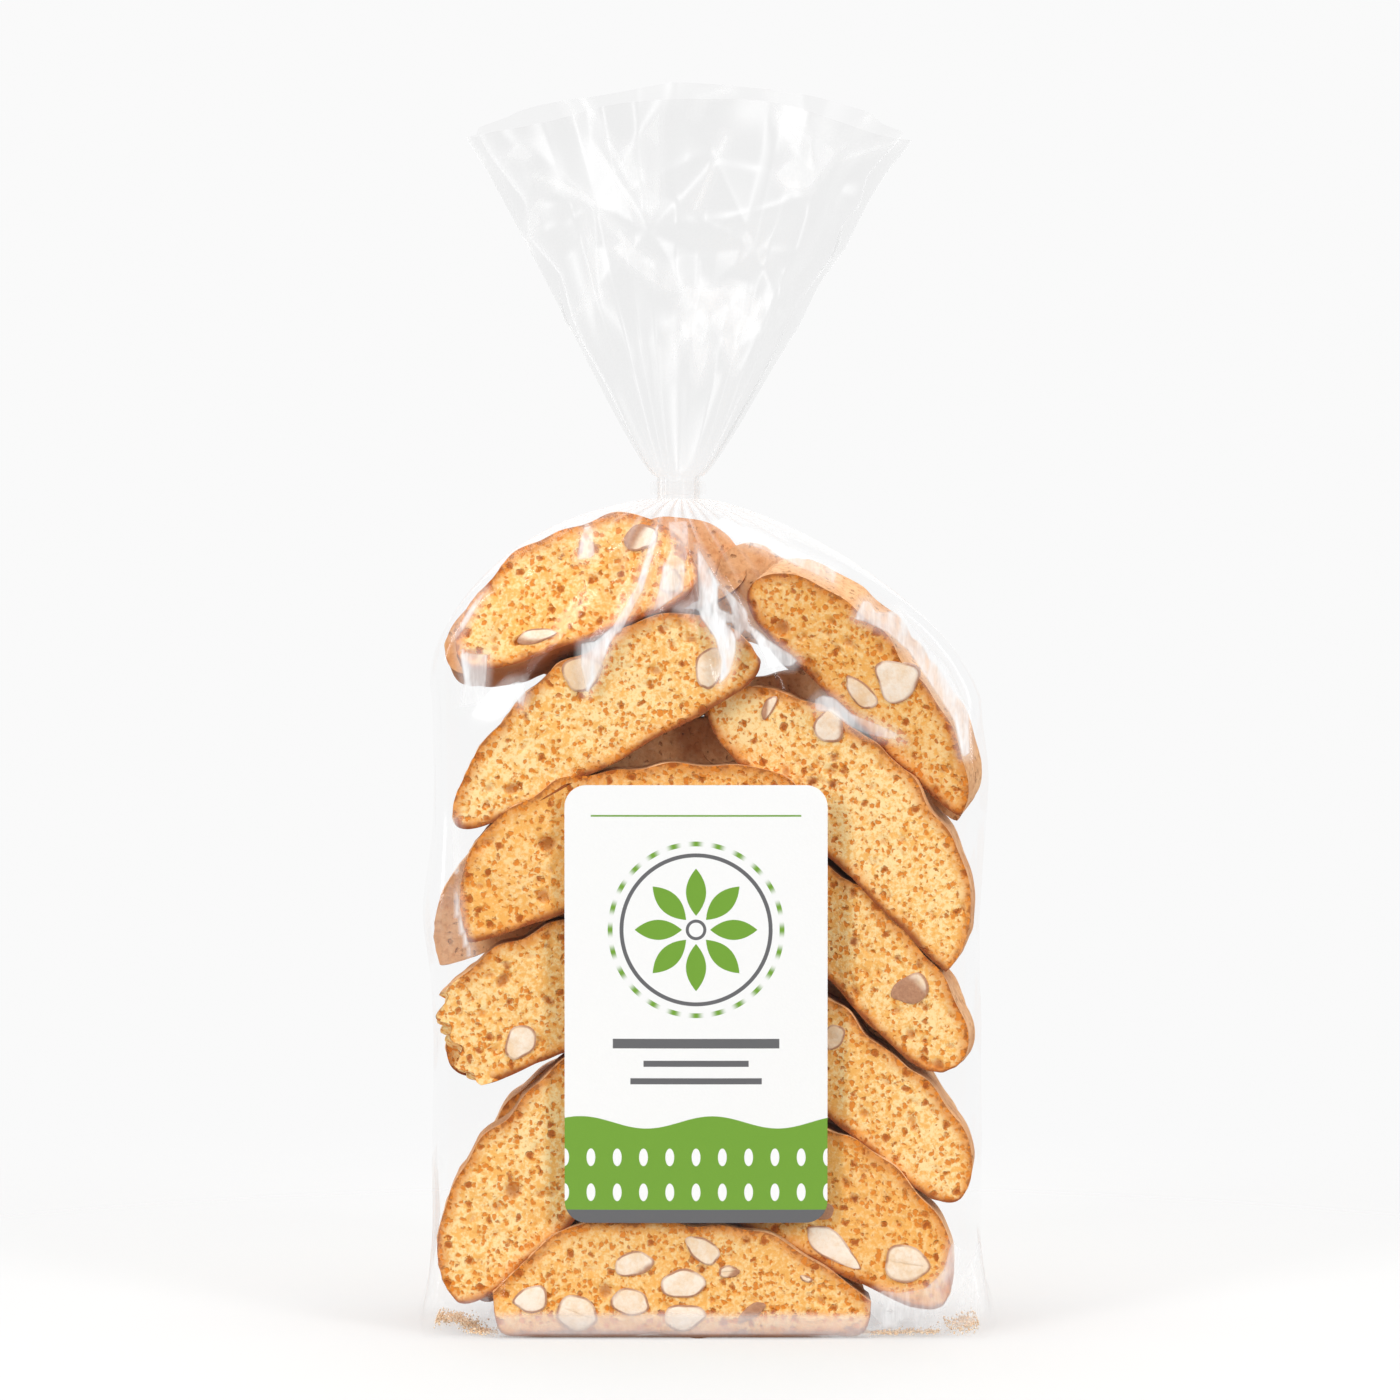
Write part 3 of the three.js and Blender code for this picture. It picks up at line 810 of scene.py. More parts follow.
def nut_reach(nut, along, up):
    """How far points of a cut face are from a nut's middle, as a share of the way to its edge."""
    place, rise, length, width, angle, _ = nut
    turn = math.radians(angle)
    ahead = (along - place) * math.cos(turn) + (up - rise) * math.sin(turn)
    across = (up - rise) * math.cos(turn) - (along - place) * math.sin(turn)
    return np.hypot(ahead / (length / 2), across / (width / 2))


def crumb_holes(form, along, up, from_edge, nuts, draw):
    """Depth of the holes in a cut face: many of a millimetre or two and a few large bubbles."""
    length, height = form["size"]
    depth = 0.0 * along
    for count, sizes, deepness in CRUMB_HOLES:
        for _ in range(count):
            place = draw.uniform(-length / 2, length / 2)
            rise = draw.uniform(0.0, height)
            size = draw.uniform(*sizes)
            hole = (place, rise, 2 * size, 2 * size * draw.uniform(0.5, 0.95), draw.uniform(-60, 60), 0)
            dip = deepness * size * np.sqrt(np.clip(1.0 - nut_reach(hole, along, up) ** 2, 0.0, None))
            depth = np.maximum(depth, dip)
    for nut in nuts:
        depth = depth * ease(nut_reach(nut, along, up), 1.0, 1.25)
    return depth * ease(from_edge, 0.2, 1.4)


def cut_face(form, outline, rows, nuts, draw):
    """Points of a cut face with their dip, and how far each is in a hole, near the crust and the sole."""
    along, foot, dome = outline
    foot, dome = foot[:, None], dome[:, None]
    share = np.linspace(0.0, 1.0, rows + 1)[None, :]
    up = foot + (dome - foot) * share
    across = along[:, None] + 0.0 * share
    slope = np.hypot(1.0, np.gradient(dome[:, 0], along + 1e-9 * np.arange(len(along))))[:, None]
    from_edge = np.minimum(up - foot, (dome - up) / slope)
    fine = rows == FINE_GRID[1]
    holes = crumb_holes(form, across, up, from_edge, nuts, draw) if fine else 0.0 * up
    uneven = slow_waves(draw, across + 0.6 * up, (31.0, 17.0, 9.0), 0.25)
    dip = holes + (FACE_DIP + uneven) * ease(from_edge, 0.0, 3.0)
    sole = np.exp(-(up - foot) / SOLE_REACH)
    rim = np.exp(-from_edge / RIM_REACH)
    return across, up, dip, np.clip(holes / FULL_HOLE, 0.0, 1.0), rim, sole


def bake_slice(form, sides, draw):
    """One slice in its own frame, along, deep and up, with values for its finish.

    The sides are its front and back face, each with whether it is finely made and the nuts cut on it.
    """
    columns = (FINE_GRID if any(fine for fine, _ in sides) else PLAIN_GRID)[0]
    outline = slice_outline(form, columns, draw)
    points, faces, looks, crusts, unders, loops = [], [], [], [], [], []
    count = 0
    for back, (fine, nuts) in enumerate(sides):
        rows = (FINE_GRID if fine else PLAIN_GRID)[1]
        along, up, dip, *look = cut_face(form, outline, rows, nuts, draw)
        points.append(np.stack([along, SLICE_DEPTH - dip if back else dip, up], axis=-1).reshape(-1, 3))
        looks.append(np.stack(look, axis=-1).reshape(-1, 3))
        quads = grid_faces(columns + 1, rows + 1, first=count)
        faces.append(quads if back else quads[:, ::-1])
        crusts.append(np.full(len(quads), float(form["crusty"] and not back)))
        unders.append(np.zeros(len(quads)))
        index = count + np.arange(along.size).reshape(along.shape)
        loops.append(np.concatenate([index[:, 0], index[::-1, -1][1:-1]]))
        count += along.size

    edge = points[0][loops[0]]
    ahead = np.roll(edge, -1, axis=0) - np.roll(edge, 1, axis=0)
    outward = np.stack([ahead[:, 2], -ahead[:, 0]], axis=-1)
    outward /= np.linalg.norm(outward, axis=-1, keepdims=True) + 1e-9
    round_edge = edge[:, 0] + 2.0 * edge[:, 2]
    swell = 0.06 + slow_waves(draw, round_edge, (29.0, 13.0, 7.0), 0.25)
    stages = [loops[0]]
    for depth in CRUST_DEPTHS:
        own_swell = swell + slow_waves(draw, round_edge, (17.0, 9.0), 0.08)
        ring = edge.copy()
        ring[:, 1] = depth
        ring[:, [0, 2]] += outward * own_swell[:, None]
        points.append(ring)
        looks.append(np.zeros((len(ring), 3)))
        stages.append(count + np.arange(len(ring)))
        count += len(ring)
    stages.append(loops[1])
    flat = (np.arange(len(edge)) < columns).astype(float)
    for near, far in zip(stages[:-1], stages[1:]):
        faces.append(np.stack([near, np.roll(near, -1), np.roll(far, -1), far], axis=-1))
        crusts.append(np.ones(len(edge)))
        unders.append(flat)

    points, faces, looks, crust = (np.concatenate(parts) for parts in (points, faces, looks, crusts))
    if "broken" in form:
        jag = slow_waves(draw, points[:, 2] + 0.5 * points[:, 1], (13.0, 6.0), 2.2)
        limit = form["broken"] + jag + 0.02 * (points[:, 2] - 12.0) ** 2
        gone = points[:, 0] < limit
        points[:, 0] = np.where(gone, limit, points[:, 0])
        crust[gone[faces].all(axis=1)] = 0.0
        looks[points[:, 0] < limit + BARE_BY_BREAK] = 0.0
    tone = np.full(len(points), form["toast"])
    values = dict(zip(POINT_VALUES, (*looks.T, tone)))
    return dict(values, points=points, faces=[faces], crust=crust, under=np.concatenate(unders))


def face_nuts(form, matrix):
    """The nuts that the front shows on a slice, moved from the front's x and z to the slice's own face."""
    axes = matrix[np.ix_([0, 2], [0, 2])]
    return [
        (*np.linalg.solve(axes, [x - form["x"], z - form["z"]]), length, width, angle - form["tilt"], brown)
        for x, z, length, width, angle, brown in form["nuts"]
    ]


def random_nuts(form, draw):
    """A few nuts cut through at random places of a face, clear of its edge and of each other."""
    length, height = form["size"]
    nuts = []
    for _ in range(draw.integers(1, 5)):
        place = draw.uniform(-0.36, 0.36) * length
        rise = draw.uniform(0.25, 0.72 - 0.5 * abs(place / length)) * height
        if all(math.hypot(place - nut[0], rise - nut[1]) > 11.0 for nut in nuts):
            size = draw.uniform(6.0, 11.0)
            brown = draw.choice([0.0, 0.0, 0.0, 0.2, 0.7])
            nuts.append((place, rise, size, size * draw.uniform(0.55, 0.85), draw.uniform(-70, 70), brown))
    return nuts


def changed(form, draw):
    """The next slice of a stack: nearly the same place, with sizes of its own and no break."""
    length, height = form["size"]
    other = {key: value for key, value in form.items() if key != "broken"}
    other["x"] += draw.uniform(-1.2, 1.2)
    other["z"] += draw.uniform(0.0, 0.6)
    other["tilt"] += draw.uniform(-1.0, 1.0)
    other["size"] = (length * draw.uniform(0.92, 0.96), height * draw.uniform(0.88, 0.94))
    other["skew"] *= draw.uniform(0.6, 1.0)
    other["toast"] = draw.uniform(-0.2, 0.9)
    return other


def joined(shapes):
    """Shapes put together as one."""
    starts = np.cumsum([0] + [len(shape["points"]) for shape in shapes])
    whole = {key: np.concatenate([shape[key] for shape in shapes]) for key in shapes[0] if key != "faces"}
    faces = [block + start for shape, start in zip(shapes, starts) for block in shape["faces"]]
    return dict(whole, faces=faces)


def dough(paint):
    """Baked dough: golden crumb full of holes on the cut faces, a dull brown crust round them."""
    place = paint.place()
    hole, rim, sole, tone, crust, under = (paint.attribute(name) for name in (*POINT_VALUES, *FACE_VALUES))
    cloud = paint.noise(70.0, 3.0, 0.6)
    grain = paint.noise(1900.0, 2.0, 0.6)
    mottle = paint.noise(850.0, 3.0, 0.6)
    shake = paint.noise(850.0, vector=place, output="Color")
    small = paint.node("VectorMath", {0: shake, "Scale": 0.0017}, operation="SCALE")
    moved = paint.node("VectorMath", {0: place, 1: small}, operation="ADD")

    bubble = paint.spots(430.0, moved, 0.5, 0.46) + 0.04 * tone + 0.16 * rim
    large = paint.spots(200.0, moved, 0.3, 0.34)
    pore = (paint.spots(820.0, moved, 0.85, 0.66) + 0.05 * tone + 0.06 * rim).step(0.0, 0.26)
    open_bubble = bubble.step(0.0, 0.16)
    cave = large.step(0.0, 0.2)
    pale = (0.75 * mottle + 0.3 * grain + 0.3 * (cloud - 0.5) - 0.05 * tone).step(0.42, 0.62)
    toasted = (rim * (0.2 + 0.6 * cloud + 1.0 * paint.noise(330.0, 3.0, 0.6))).step(0.2, 0.85)
    fleck = (rim * paint.noise(520.0, 3.0, 0.6)).step(0.34, 0.52)
    # The sole is painted dark brown near the underside: partly a burnt underside and partly painted shade
    # where slices touch.
    sole_burn_and_shade = (sole * (0.3 + 1.3 * paint.noise(160.0, 3.0))).step(0.3, 0.85)
    # Pores, bubbles and holes are painted darker orange-brown, darkest at their depths: painted shade in the
    # hollows.
    crumb = pale.between(srgb(246, 184, 97), srgb(255, 224, 162)).under(
        (0.4 * tone.most(0.0), (240, 164, 72)),
        (0.85 * toasted, (224, 140, 62)),
        (0.7 * fleck, (152, 80, 32)),
        (0.95 * pore, (226, 133, 40)),
        (0.85 * open_bubble, (208, 116, 34)),
        (0.75 * bubble.step(0.12, 0.3), (164, 80, 22)),
        (0.7 * cave, (206, 112, 32)),
        (0.75 * large.step(0.1, 0.26), (132, 56, 12)),
        (0.5 * hole.step(0.1, 0.7), (214, 124, 38)),
        (0.6 * hole.step(0.4, 1.2), (140, 62, 16)),
        (0.85 * sole_burn_and_shade, (136, 64, 26)),
    )

    spot = paint.noise(260.0, 4.0, 0.7)
    flour = paint.noise(900.0, 2.0, 0.6)
    pit = paint.spots(700.0, moved, 0.6, 0.5).step(0.0, 0.25)
    skin = (0.7 * cloud + 0.6 * spot + 0.1 * tone).step(0.45, 0.85)
    baked = skin.between(srgb(208, 143, 90), srgb(240, 189, 138)).under(
        (0.4 * mottle.step(0.5, 0.66), (186, 118, 68)),
        (0.35 * flour.step(0.52, 0.75), (242, 206, 160)),
        (under * (0.55 + 0.5 * spot), (156, 96, 50)),
        (0.55 * pit, (150, 90, 46)),
    )

    crumb_heights = 0.4 * grain + 0.3 * mottle - 0.5 * pore - 0.9 * open_bubble - 1.3 * cave
    crust_heights = 0.5 * spot + 0.4 * flour - 0.8 * pit
    heights = crumb_heights * (1.0 - crust) + crust_heights * crust
    return paint.solid(crust.between(crumb, baked), 0.78, heights, 0.0003, 0.25)


slice_draw = np.random.default_rng(SLICE_SEED)
layers = {"biscuits_front": [], "biscuits_middle": [], "biscuits_back": []}
cut_nuts = []
for stack in STACKS:
    behind = changed(stack, slice_draw)
    behind["x"] += stack["behind"][0]
    behind["z"] += stack["behind"][1]
    behind["crusty"] = stack["end"]
    placed = []
    for row, form in enumerate((stack, behind, changed(stack, slice_draw))):
        in_front = row == 0
        at_back = row == 2
        matrix = turned(form)
        back_nuts = random_nuts(form, slice_draw) if at_back else []
        front_nuts = face_nuts(form, matrix) if in_front else []
        baked = bake_slice(form, [(in_front, front_nuts), (at_back, back_nuts)], slice_draw)
        points = baked["points"] @ matrix.T + [form["x"], 0.0, form["z"]]
        shift = side_shift(points[:, 0], points[:, 2])
        points[:, 0] += shift
        baked["points"] = points
        form = dict(form, x=form["x"] + shift)
        front_nuts = face_nuts(form, matrix) if in_front else []
        placed.append((baked, matrix, form, front_nuts, back_nuts))
    in_row = [baked["points"] for baked, *_ in placed]
    front_room = room_depth(in_row[0][:, 0], in_row[0][:, 2])
    back_room = room_depth(in_row[-1][:, 0], in_row[-1][:, 2])
    front = np.max(bag_centre[1] - front_room - in_row[0][:, 1])
    back = np.min(bag_centre[1] + back_room - in_row[-1][:, 1])
    pushes = np.linspace(front, back, len(placed)) - stack["forward"]
    for name, push, (baked, matrix, form, front_nuts, back_nuts) in zip(layers, pushes, placed):
        if stack["hidden"] and name != "biscuits_middle":
            continue
        baked["points"][:, 1] += push
        layers[name].append(baked)
        base = np.array([form["x"], push, form["z"]])
        cut_nuts += [(nut, matrix, base, False) for nut in front_nuts]
        cut_nuts += [(nut, matrix, base, True) for nut in back_nuts]
dough_finish = finished(bpy.data.materials.new("biscuit"), dough)
for name, slices in layers.items():
    mesh_piece(name, joined(slices), dough_finish, POINT_VALUES, FACE_VALUES)

# The almonds: whole nuts baked into the loaf and cut through with it, so that each shows flush in a cut face.
# The flesh is cream, the thin skin round it brown, and some are cut so near the skin that brown covers them.
NUT_RINGS = 12
NUT_SPOKES = 40
NUT_SKIN = 0.75
NUT_ROOT = 1.2
LONG_NUT = 12.0
NUT_SEED = 11
NUT_VALUES = ("skin", "split", "tone")


def cut_nut(nut, back, draw):
    """One cut nut in its slice's frame, with how much brown skin and split each point shows, and its tone."""
    place, rise, length, width, angle, brown = nut
    turn = math.radians(angle)
    spoke = 2 * math.pi * np.arange(NUT_SPOKES) / NUT_SPOKES

    def ripple(count):
        """A wave round the nut with a random start."""
        return np.sin(count * spoke + draw.uniform(0, 6))

    taper = draw.uniform(0.05, 0.4) * draw.choice([-1, 1])
    wobble = 1.0 + 0.05 * ripple(3) + 0.03 * ripple(5)
    pointed = 1.0 if length < LONG_NUT else 1.6
    ahead = length / 2 * np.cos(spoke) * wobble
    across = width / 2 * np.sign(np.sin(spoke)) * np.abs(np.sin(spoke)) ** pointed
    across = across * (1.0 - taper * np.cos(spoke)) * wobble
    reach = np.append(np.linspace(0.02, 1.0, NUT_RINGS), 1.0)[:, None]
    proud = 0.22 * np.sqrt(np.clip(1.0 - reach**3, 0.0, None)) + 0.06
    proud = proud + 0.05 * np.sin(ahead * reach * 1.7 + draw.uniform(0, 6))
    proud[-1] = -NUT_ROOT
    along = place + reach * (ahead * math.cos(turn) - across * math.sin(turn))
    up = rise + reach * (ahead * math.sin(turn) + across * math.cos(turn))
    deep = SLICE_DEPTH + proud if back else -proud

    edge = (1.0 - reach) * np.hypot(ahead, across)
    cover = np.cos(spoke - draw.uniform(0, 6)) * reach * 0.5 + 0.5
    patchy = 0.55 + 0.45 * ease(ripple(2) + ripple(3), -0.8, 0.6)
    outline = (1.0 - ease(edge, 0.3 * NUT_SKIN, NUT_SKIN)) * patchy
    skin = np.maximum(outline, ease(brown - cover, -0.3, 0.25))
    split = np.exp(-(((across - 0.2 * np.sin(ahead)) * reach / 0.18) ** 2))
    split = split * (np.abs(ahead * reach) < 0.36 * length) * draw.choice([0.0, 0.0, 0.0, 0.5])

    middle = [[place, deep[0].mean(), rise]]
    points = np.concatenate([np.stack([along, deep, up], axis=-1).reshape(-1, 3), middle])
    rows = len(reach)
    faces = [grid_faces(rows, NUT_SPOKES, closed=True), fan_faces(rows * NUT_SPOKES, NUT_SPOKES)]
    return {
        "points": points,
        "faces": faces if back else [block[:, ::-1] for block in faces],
        "skin": np.append(skin.ravel(), ease(brown, 0.4, 0.7)),
        "split": np.append(split.ravel(), 0.0),
        "tone": np.full(len(points), draw.uniform(-1.0, 1.0)),
    }


def almond(paint):
    """Cut nut flesh, cream with darker grain, under a thin brown skin."""
    skin, split, tone = (paint.attribute(name) for name in NUT_VALUES)
    cloud = paint.noise(240.0, 3.0, 0.6)
    grain = paint.noise(1300.0, 2.0, 0.6)
    cream = (0.8 * cloud + 0.4 * grain + 0.16 * tone).step(0.35, 0.85)
    # Along the split between the halves the flesh is painted tan: painted shade in the crack.
    flesh = cream.between(srgb(240, 206, 164), srgb(253, 238, 220)).under((0.6 * split, (196, 150, 92)))
    husk = grain.between(srgb(154, 102, 74), srgb(206, 156, 120))
    covered = (skin + 0.5 * (cloud - 0.5)).step(0.15, 0.85)
    heights = 0.5 * cloud + 0.3 * grain - 0.6 * split
    return paint.solid(covered.between(flesh, husk), 0.5, heights, 0.0003, 0.35)


nut_draw = np.random.default_rng(NUT_SEED)
nut_shapes = []
for nut, matrix, base, back in cut_nuts:
    shape = cut_nut(nut, back, nut_draw)
    nut_shapes.append(dict(shape, points=shape["points"] @ matrix.T + base))
almond_finish = finished(bpy.data.materials.new("almond"), almond)
mesh_piece("almonds", joined(nut_shapes), almond_finish, NUT_VALUES)

# The crumbs: bits that break off the slices and gather inside the foot of the bag, mostly in its corners.
# They are the same dough, from dust to specks of almost a millimetre, painted paler than it: painted light
# against the shade they lie in.
CRUMB_COUNT = 3600
CRUMB_SIZES = (0.06, 0.4)
CRUMB_SEED = 5
# Where crumbs gather: middle x, y and z of each heap, and how far it spreads along x, y and z
CRUMB_HEAPS = np.array([
    (-62, 0, 0.4, 1.6, 6, 0.3), (-58.5, -4, 0.4, 2, 4, 0.3), (-55, -13, 0.4, 1.4, 4, 0.3),
    (-51.5, -26, 0.4, 1.8, 2.5, 0.3), (40, -28.5, 0.4, 3, 1.5, 0.3), (48, -26.5, 0.4, 3.2, 2, 0.3),
    (58.5, -16, 0.5, 2, 7, 0.4), (61, -8, 0.5, 1.4, 6, 0.4),
])
CRUMBS_LOW = [-63.0, -31.4, 0.4]
CRUMBS_HIGH = [63.0, 31.4, 8.0]
# A bit of crumb starts as a body of twenty triangles
golden = (1 + math.sqrt(5)) / 2
BIT_POINTS = np.array([
    (-1, golden, 0), (1, golden, 0), (-1, -golden, 0), (1, -golden, 0),
    (0, -1, golden), (0, 1, golden), (0, -1, -golden), (0, 1, -golden),
    (golden, 0, -1), (golden, 0, 1), (-golden, 0, -1), (-golden, 0, 1),
]) / math.hypot(1, golden)
BIT_FACES = np.array([
    (0, 11, 5), (0, 5, 1), (0, 1, 7), (0, 7, 10), (0, 10, 11), (1, 5, 9), (5, 11, 4),
    (11, 10, 2), (10, 7, 6), (7, 1, 8), (3, 9, 4), (3, 4, 2), (3, 2, 6), (3, 6, 8),
    (3, 8, 9), (4, 9, 5), (2, 4, 11), (6, 2, 10), (8, 6, 7), (9, 8, 1),
])


def broken_crumb(paint):
    """Broken crumb, uneven and matt, painted a pale peach above the dough's gold: painted light against the
    shade it lies in.
    """
    grain = paint.noise(900.0, 3.0, 0.6)
    colour = grain.step(0.35, 0.7).between(srgb(253, 214, 170), srgb(255, 240, 216))
    return paint.solid(colour, 0.8, grain, 0.0004)


crumb_draw = np.random.default_rng(CRUMB_SEED)
bits = []
for _ in range(CRUMB_COUNT):
    size = lerp(*CRUMB_SIZES, crumb_draw.uniform() ** 3)
    heap = CRUMB_HEAPS[crumb_draw.integers(len(CRUMB_HEAPS))]
    place = np.clip(heap[:3] + heap[3:] * crumb_draw.normal(size=3), CRUMBS_LOW, CRUMBS_HIGH)
    dented = BIT_POINTS * crumb_draw.uniform(0.6, 1.25, (len(BIT_POINTS), 1))
    bit = dented * crumb_draw.uniform(0.6, 1.1, (1, 3)) * size
    bit[:, 2] -= bit[:, 2].min()
    bits.append({"points": bit + place + [bag_centre[0], bag_centre[1], 0.0], "faces": [BIT_FACES]})
crumb_finish = finished(bpy.data.materials.new("crumbs"), broken_crumb)
mesh_piece("crumbs", joined(bits), crumb_finish)

# The tie: a narrow band of milky plastic drawn round the gathered neck.
# Its shape is the solid's own, and only its finish is made here.


def milky_plastic(paint):
    """Milky plastic, so thin that it is nearly clear."""
    ripple = paint.noise(900.0)
    colour = ripple.between(srgb(236, 236, 234), srgb(250, 250, 249))
    clear = paint.shader("Transparent", grey(0.995))
    return (0.01 + 0.03 * paint.facing()).blend(clear, paint.solid(colour, 0.3, ripple, 0.0001))


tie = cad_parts["tie"]
tie.data.materials.clear()
tie.data.materials.append(finished(bpy.data.materials.new("tie_plastic"), milky_plastic))
tie.data.shade_smooth()

# The label: a white paper sticker with a satin face, stuck on the front of the film.
# It carries a plain printed design of green and grey shapes, with no words.
LABEL_CORNER = 5.0
LABEL_THICKNESS = 0.25
LABEL_LIFT = 0.55
LABEL_COLUMNS = 48
LABEL_ROWS = 90
WHITE = (244, 244, 243)
GREEN = (114, 161, 51)
GREY = (101, 101, 103)
PRINT_EDGE = 0.06
ROSETTE_RISE = 17.0
ROSETTE_RING = 17.0
ROSETTE_EYE = 2.0
BEAD_RING = 19.6
PETALS = 8
PETAL_MIDDLE = 8.6
PETAL_HALF_LENGTH = 5.4
PETAL_HALF_WIDTH = 2.3
# Printed rules: height, half width and half thickness
GREY_RULES = [(-9.0, 19.0, 1.1), (-13.6, 12.0, 0.7), (-17.6, 15.0, 0.7)]
GREEN_RULE = (43.0, 24.0, 0.2)
FIELD_TOP = -27.0
FIELD_WAVE = 1.4
FIELD_WAVE_HALF_LENGTH = 15.0
DROPS_TOP = -31.3
FOOT_TOP = -47.0


def label_points(lift):
    """Rows of points over the label, which follows the bowed front at a lift above the film."""
    share = np.sin(np.linspace(-math.pi / 2, math.pi / 2, LABEL_ROWS + 1))[:, None]
    up = label_half_height * share
    into_corner = np.clip(np.abs(up) - (label_half_height - LABEL_CORNER), 0.0, LABEL_CORNER)
    half = label_half_width - LABEL_CORNER + np.sqrt(LABEL_CORNER**2 - into_corner**2)
    across = half * np.linspace(-1.0, 1.0, LABEL_COLUMNS + 1)[None, :]
    x = label_centre[0] + across
    z = label_centre[2] + up + 0.0 * across
    ripple = 0.10 * np.sin(up / 17.0 + 1.0) * np.sin(across / 13.0 + 0.4)
    y = bag_centre[1] - (BODY_HALF_DEPTH + crown(x - bag_centre[0]) + lift + ripple)
    return np.stack([x, y, z], axis=-1)


def band(value, middle, half):
    """1 within half of the middle, with an edge a tenth of a millimetre soft."""
    return 1.0 - abs(value - middle).step(half - 0.05, half + 0.05)


def printed_paper(paint):
    """Satin white paper printed in green and grey: a rosette of almond shapes, rules and a wavy field."""
    place = paint.place()
    across = paint.axis("X", place) / MM - float(label_centre[0])
    up = paint.axis("Z", place) / MM - float(label_centre[2])
    fibre = paint.noise(1800.0)
    paper = fibre.between(srgb(241, 241, 240), srgb(*WHITE))

    from_middle = up - ROSETTE_RISE
    reach = (across * across + from_middle * from_middle) ** 0.5
    angle = paint.maths("ARCTAN2", from_middle, across) + math.pi
    sector = paint.maths("PINGPONG", angle, math.pi / PETALS)
    ahead = reach * paint.maths("COSINE", sector)
    side = reach * paint.maths("SINE", sector)
    petal = side - PETAL_HALF_WIDTH * (1.0 - ((ahead - PETAL_MIDDLE) / PETAL_HALF_LENGTH) ** 2.0)
    petals = 1.0 - petal.step(-PRINT_EDGE, PRINT_EDGE)
    ring = band(reach, ROSETTE_RING, 0.45).most(band(reach, ROSETTE_EYE, 0.35))
    bead = paint.maths("PINGPONG", angle, math.pi / (3 * PETALS))
    beads = band(reach, BEAD_RING, 0.55) * band(bead, 0.0, 0.055)

    def rule(height, half_width, half):
        return band(up, height, half) * band(across, 0.0, half_width)

    wavy = FIELD_WAVE * paint.maths("SINE", across * (math.pi / FIELD_WAVE_HALF_LENGTH) + 0.8)
    field = 1.0 - (up - FIELD_TOP - wavy).step(-PRINT_EDGE, PRINT_EDGE)
    cell_x = paint.maths("PINGPONG", across, 3.0)
    cell_z = paint.maths("PINGPONG", up + 3.0, 4.0)
    drop = cell_x**2.0 + (cell_z / 2.0) ** 2.0
    drops = (1.0 - drop.step(0.92, 1.08)) * (1.0 - up.step(DROPS_TOP - 0.1, DROPS_TOP + 0.1))
    colour = paper.under(
        (petals, GREEN),
        (ring, GREY),
        (beads, GREEN),
        (sum(rule(*sizes) for sizes in GREY_RULES), GREY),
        (rule(*GREEN_RULE), GREEN),
        (field, GREEN),
        (field * drops, WHITE),
        (1.0 - up.step(FOOT_TOP - 0.05, FOOT_TOP + 0.05), GREY),
    )
    return paint.solid(colour, 0.36, fibre, 0.00002)


label_front = label_points(LABEL_LIFT + LABEL_THICKNESS)
label_back = label_points(LABEL_LIFT)
label_count = label_front.size // 3
index = np.arange(label_count).reshape(label_front.shape[:2])
edge = np.concatenate([index[0, :], index[1:-1, -1], index[-1, ::-1], index[-2:0:-1, 0]])
edge_faces = np.stack([edge, edge + label_count, np.roll(edge, -1) + label_count, np.roll(edge, -1)], axis=-1)
front_faces = grid_faces(*index.shape)
label_shape = {
    "points": np.concatenate([label_front.reshape(-1, 3), label_back.reshape(-1, 3)]),
    "faces": [front_faces, front_faces[:, ::-1] + label_count, edge_faces],
}
label_finish = finished(bpy.data.materials.new("label_paper"), printed_paper)
label_sheet = mesh_piece("label_sheet", label_shape, label_finish)
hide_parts("label")

# The stage: a plain pale floor that fades out into a white room.
# It is a flat disc just under the bag, with its sizes in metres, and isn't part of the object.
FLOOR_RADIUS = 1.6
FLOOR_DROP = 0.0003
FLOOR_SIDES = 64


def pale_floor(paint):
    """Matt white that fades away towards the rim."""
    reach = paint.node("VectorMath", {0: paint.place()}, "Value", operation="LENGTH")
    matt = paint.shader("Diffuse", (0.77, 0.765, 0.76, 1.0))
    return (0.5 + 0.5 * reach.step(0.12, 0.5)).blend(matt, paint.shader("Transparent", grey(1.0)))


floor_mesh = bpy.data.meshes.new("floor")
floor_turn = 2 * math.pi * np.arange(FLOOR_SIDES) / FLOOR_SIDES
floor_rim = np.stack([np.cos(floor_turn), np.sin(floor_turn), 0 * floor_turn], axis=-1) * FLOOR_RADIUS
floor_mesh.from_pydata((floor_rim - [0, 0, FLOOR_DROP]).tolist(), [], [list(range(FLOOR_SIDES))])
floor_mesh.materials.append(finished(bpy.data.materials.new("floor"), pale_floor))
floor = bpy.data.objects.new("floor", floor_mesh)
bpy.context.scene.collection.objects.link(floor)

# The light: soft boxes to the left, to the right, above and behind, placed in metres.
# They stand in a room that is dim in front and brighter behind, with a white background for the camera.


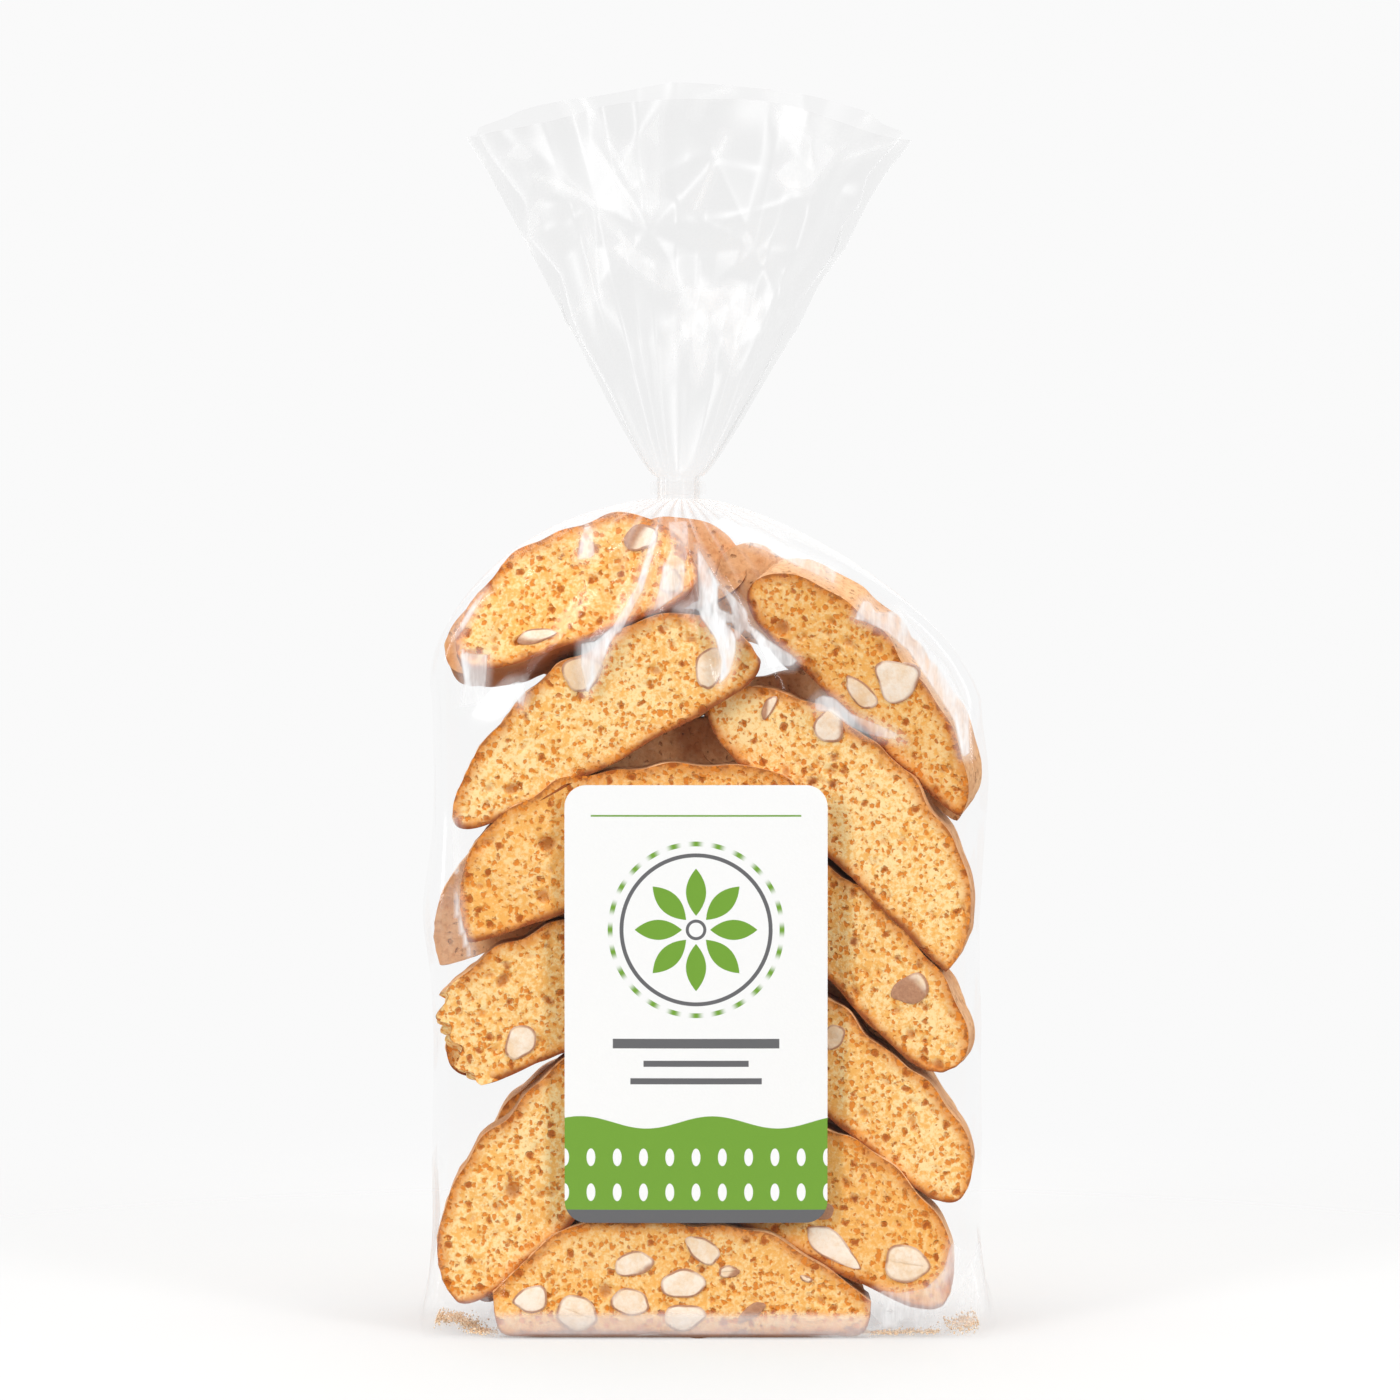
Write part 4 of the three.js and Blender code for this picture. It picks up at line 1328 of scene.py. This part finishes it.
def soft_box(name, place, aim, size, power, glints=True):
    """A rectangular light that points from its place at an aim, and may show as glints in shiny things."""
    lamp = bpy.data.lights.new(name, "AREA")
    lamp.shape = "RECTANGLE"
    lamp.size, lamp.size_y = size
    lamp.energy = power
    box = bpy.data.objects.new(name, lamp)
    box.location = place
    box.rotation_euler = (Vector(aim) - Vector(place)).to_track_quat("-Z", "Y").to_euler()
    box.visible_camera = False
    box.visible_glossy = glints
    bpy.context.scene.collection.objects.link(box)


def white_room(paint):
    """Walls that are brighter behind, and an even white where the camera sees past everything."""
    seen = paint.node("LightPath", None, "Is Camera Ray")
    outward = paint.node("TexCoord", None, "Generated")
    walls = paint.axis("Y", outward).step(-0.7, 0.7).between(grey(0.3), grey(0.9))
    return paint.node("Background", {"Color": seen.between(walls, grey(0.955)), "Strength": 1.0})


soft_box("left_box", (-0.70, -1.00, 0.55), (0, 0, 0.12), (0.3, 0.7), 7.2)
soft_box("right_box", (0.75, -0.95, 0.60), (0, 0, 0.12), (0.3, 0.7), 6.7)
soft_box("top_box", (0.0, -0.25, 1.15), (0, 0, 0.1), (0.9, 0.6), 5.5, glints=False)
soft_box("back_box", (0.0, 1.1, 0.7), (0, 0, 0.15), (1.2, 0.8), 5.8)
bpy.context.scene.world = finished(bpy.data.worlds.new("studio"), white_room, "OutputWorld")
bpy.context.scene.view_settings.view_transform = "Standard"
bpy.context.scene.cycles.transparent_max_bounces = 40

# The camera: level with the middle of the pack and a little above it, far enough for a flat view.
# The width of the view is measured at the bag's front.
VIEW_WIDTH = 319.0
VIEW_DISTANCE = 1300.0
VIEW_RISE = 1.5
VIEW_MIDDLE = (-1.6, 145.9)
SENSOR_WIDTH = 36.0
view_aim = np.array([VIEW_MIDDLE[0], bag_low[1], VIEW_MIDDLE[1]])
rise = math.radians(VIEW_RISE)
camera_data = bpy.data.cameras.new("camera")
camera_data.sensor_width = SENSOR_WIDTH
camera_data.lens = SENSOR_WIDTH * VIEW_DISTANCE / VIEW_WIDTH
camera = bpy.data.objects.new("camera", camera_data)
camera.location = (view_aim + VIEW_DISTANCE * np.array([0, -math.cos(rise), math.sin(rise)])) * MM
camera.rotation_euler = (math.pi / 2 - rise, 0, 0)
bpy.context.scene.collection.objects.link(camera)
bpy.context.scene.camera = camera
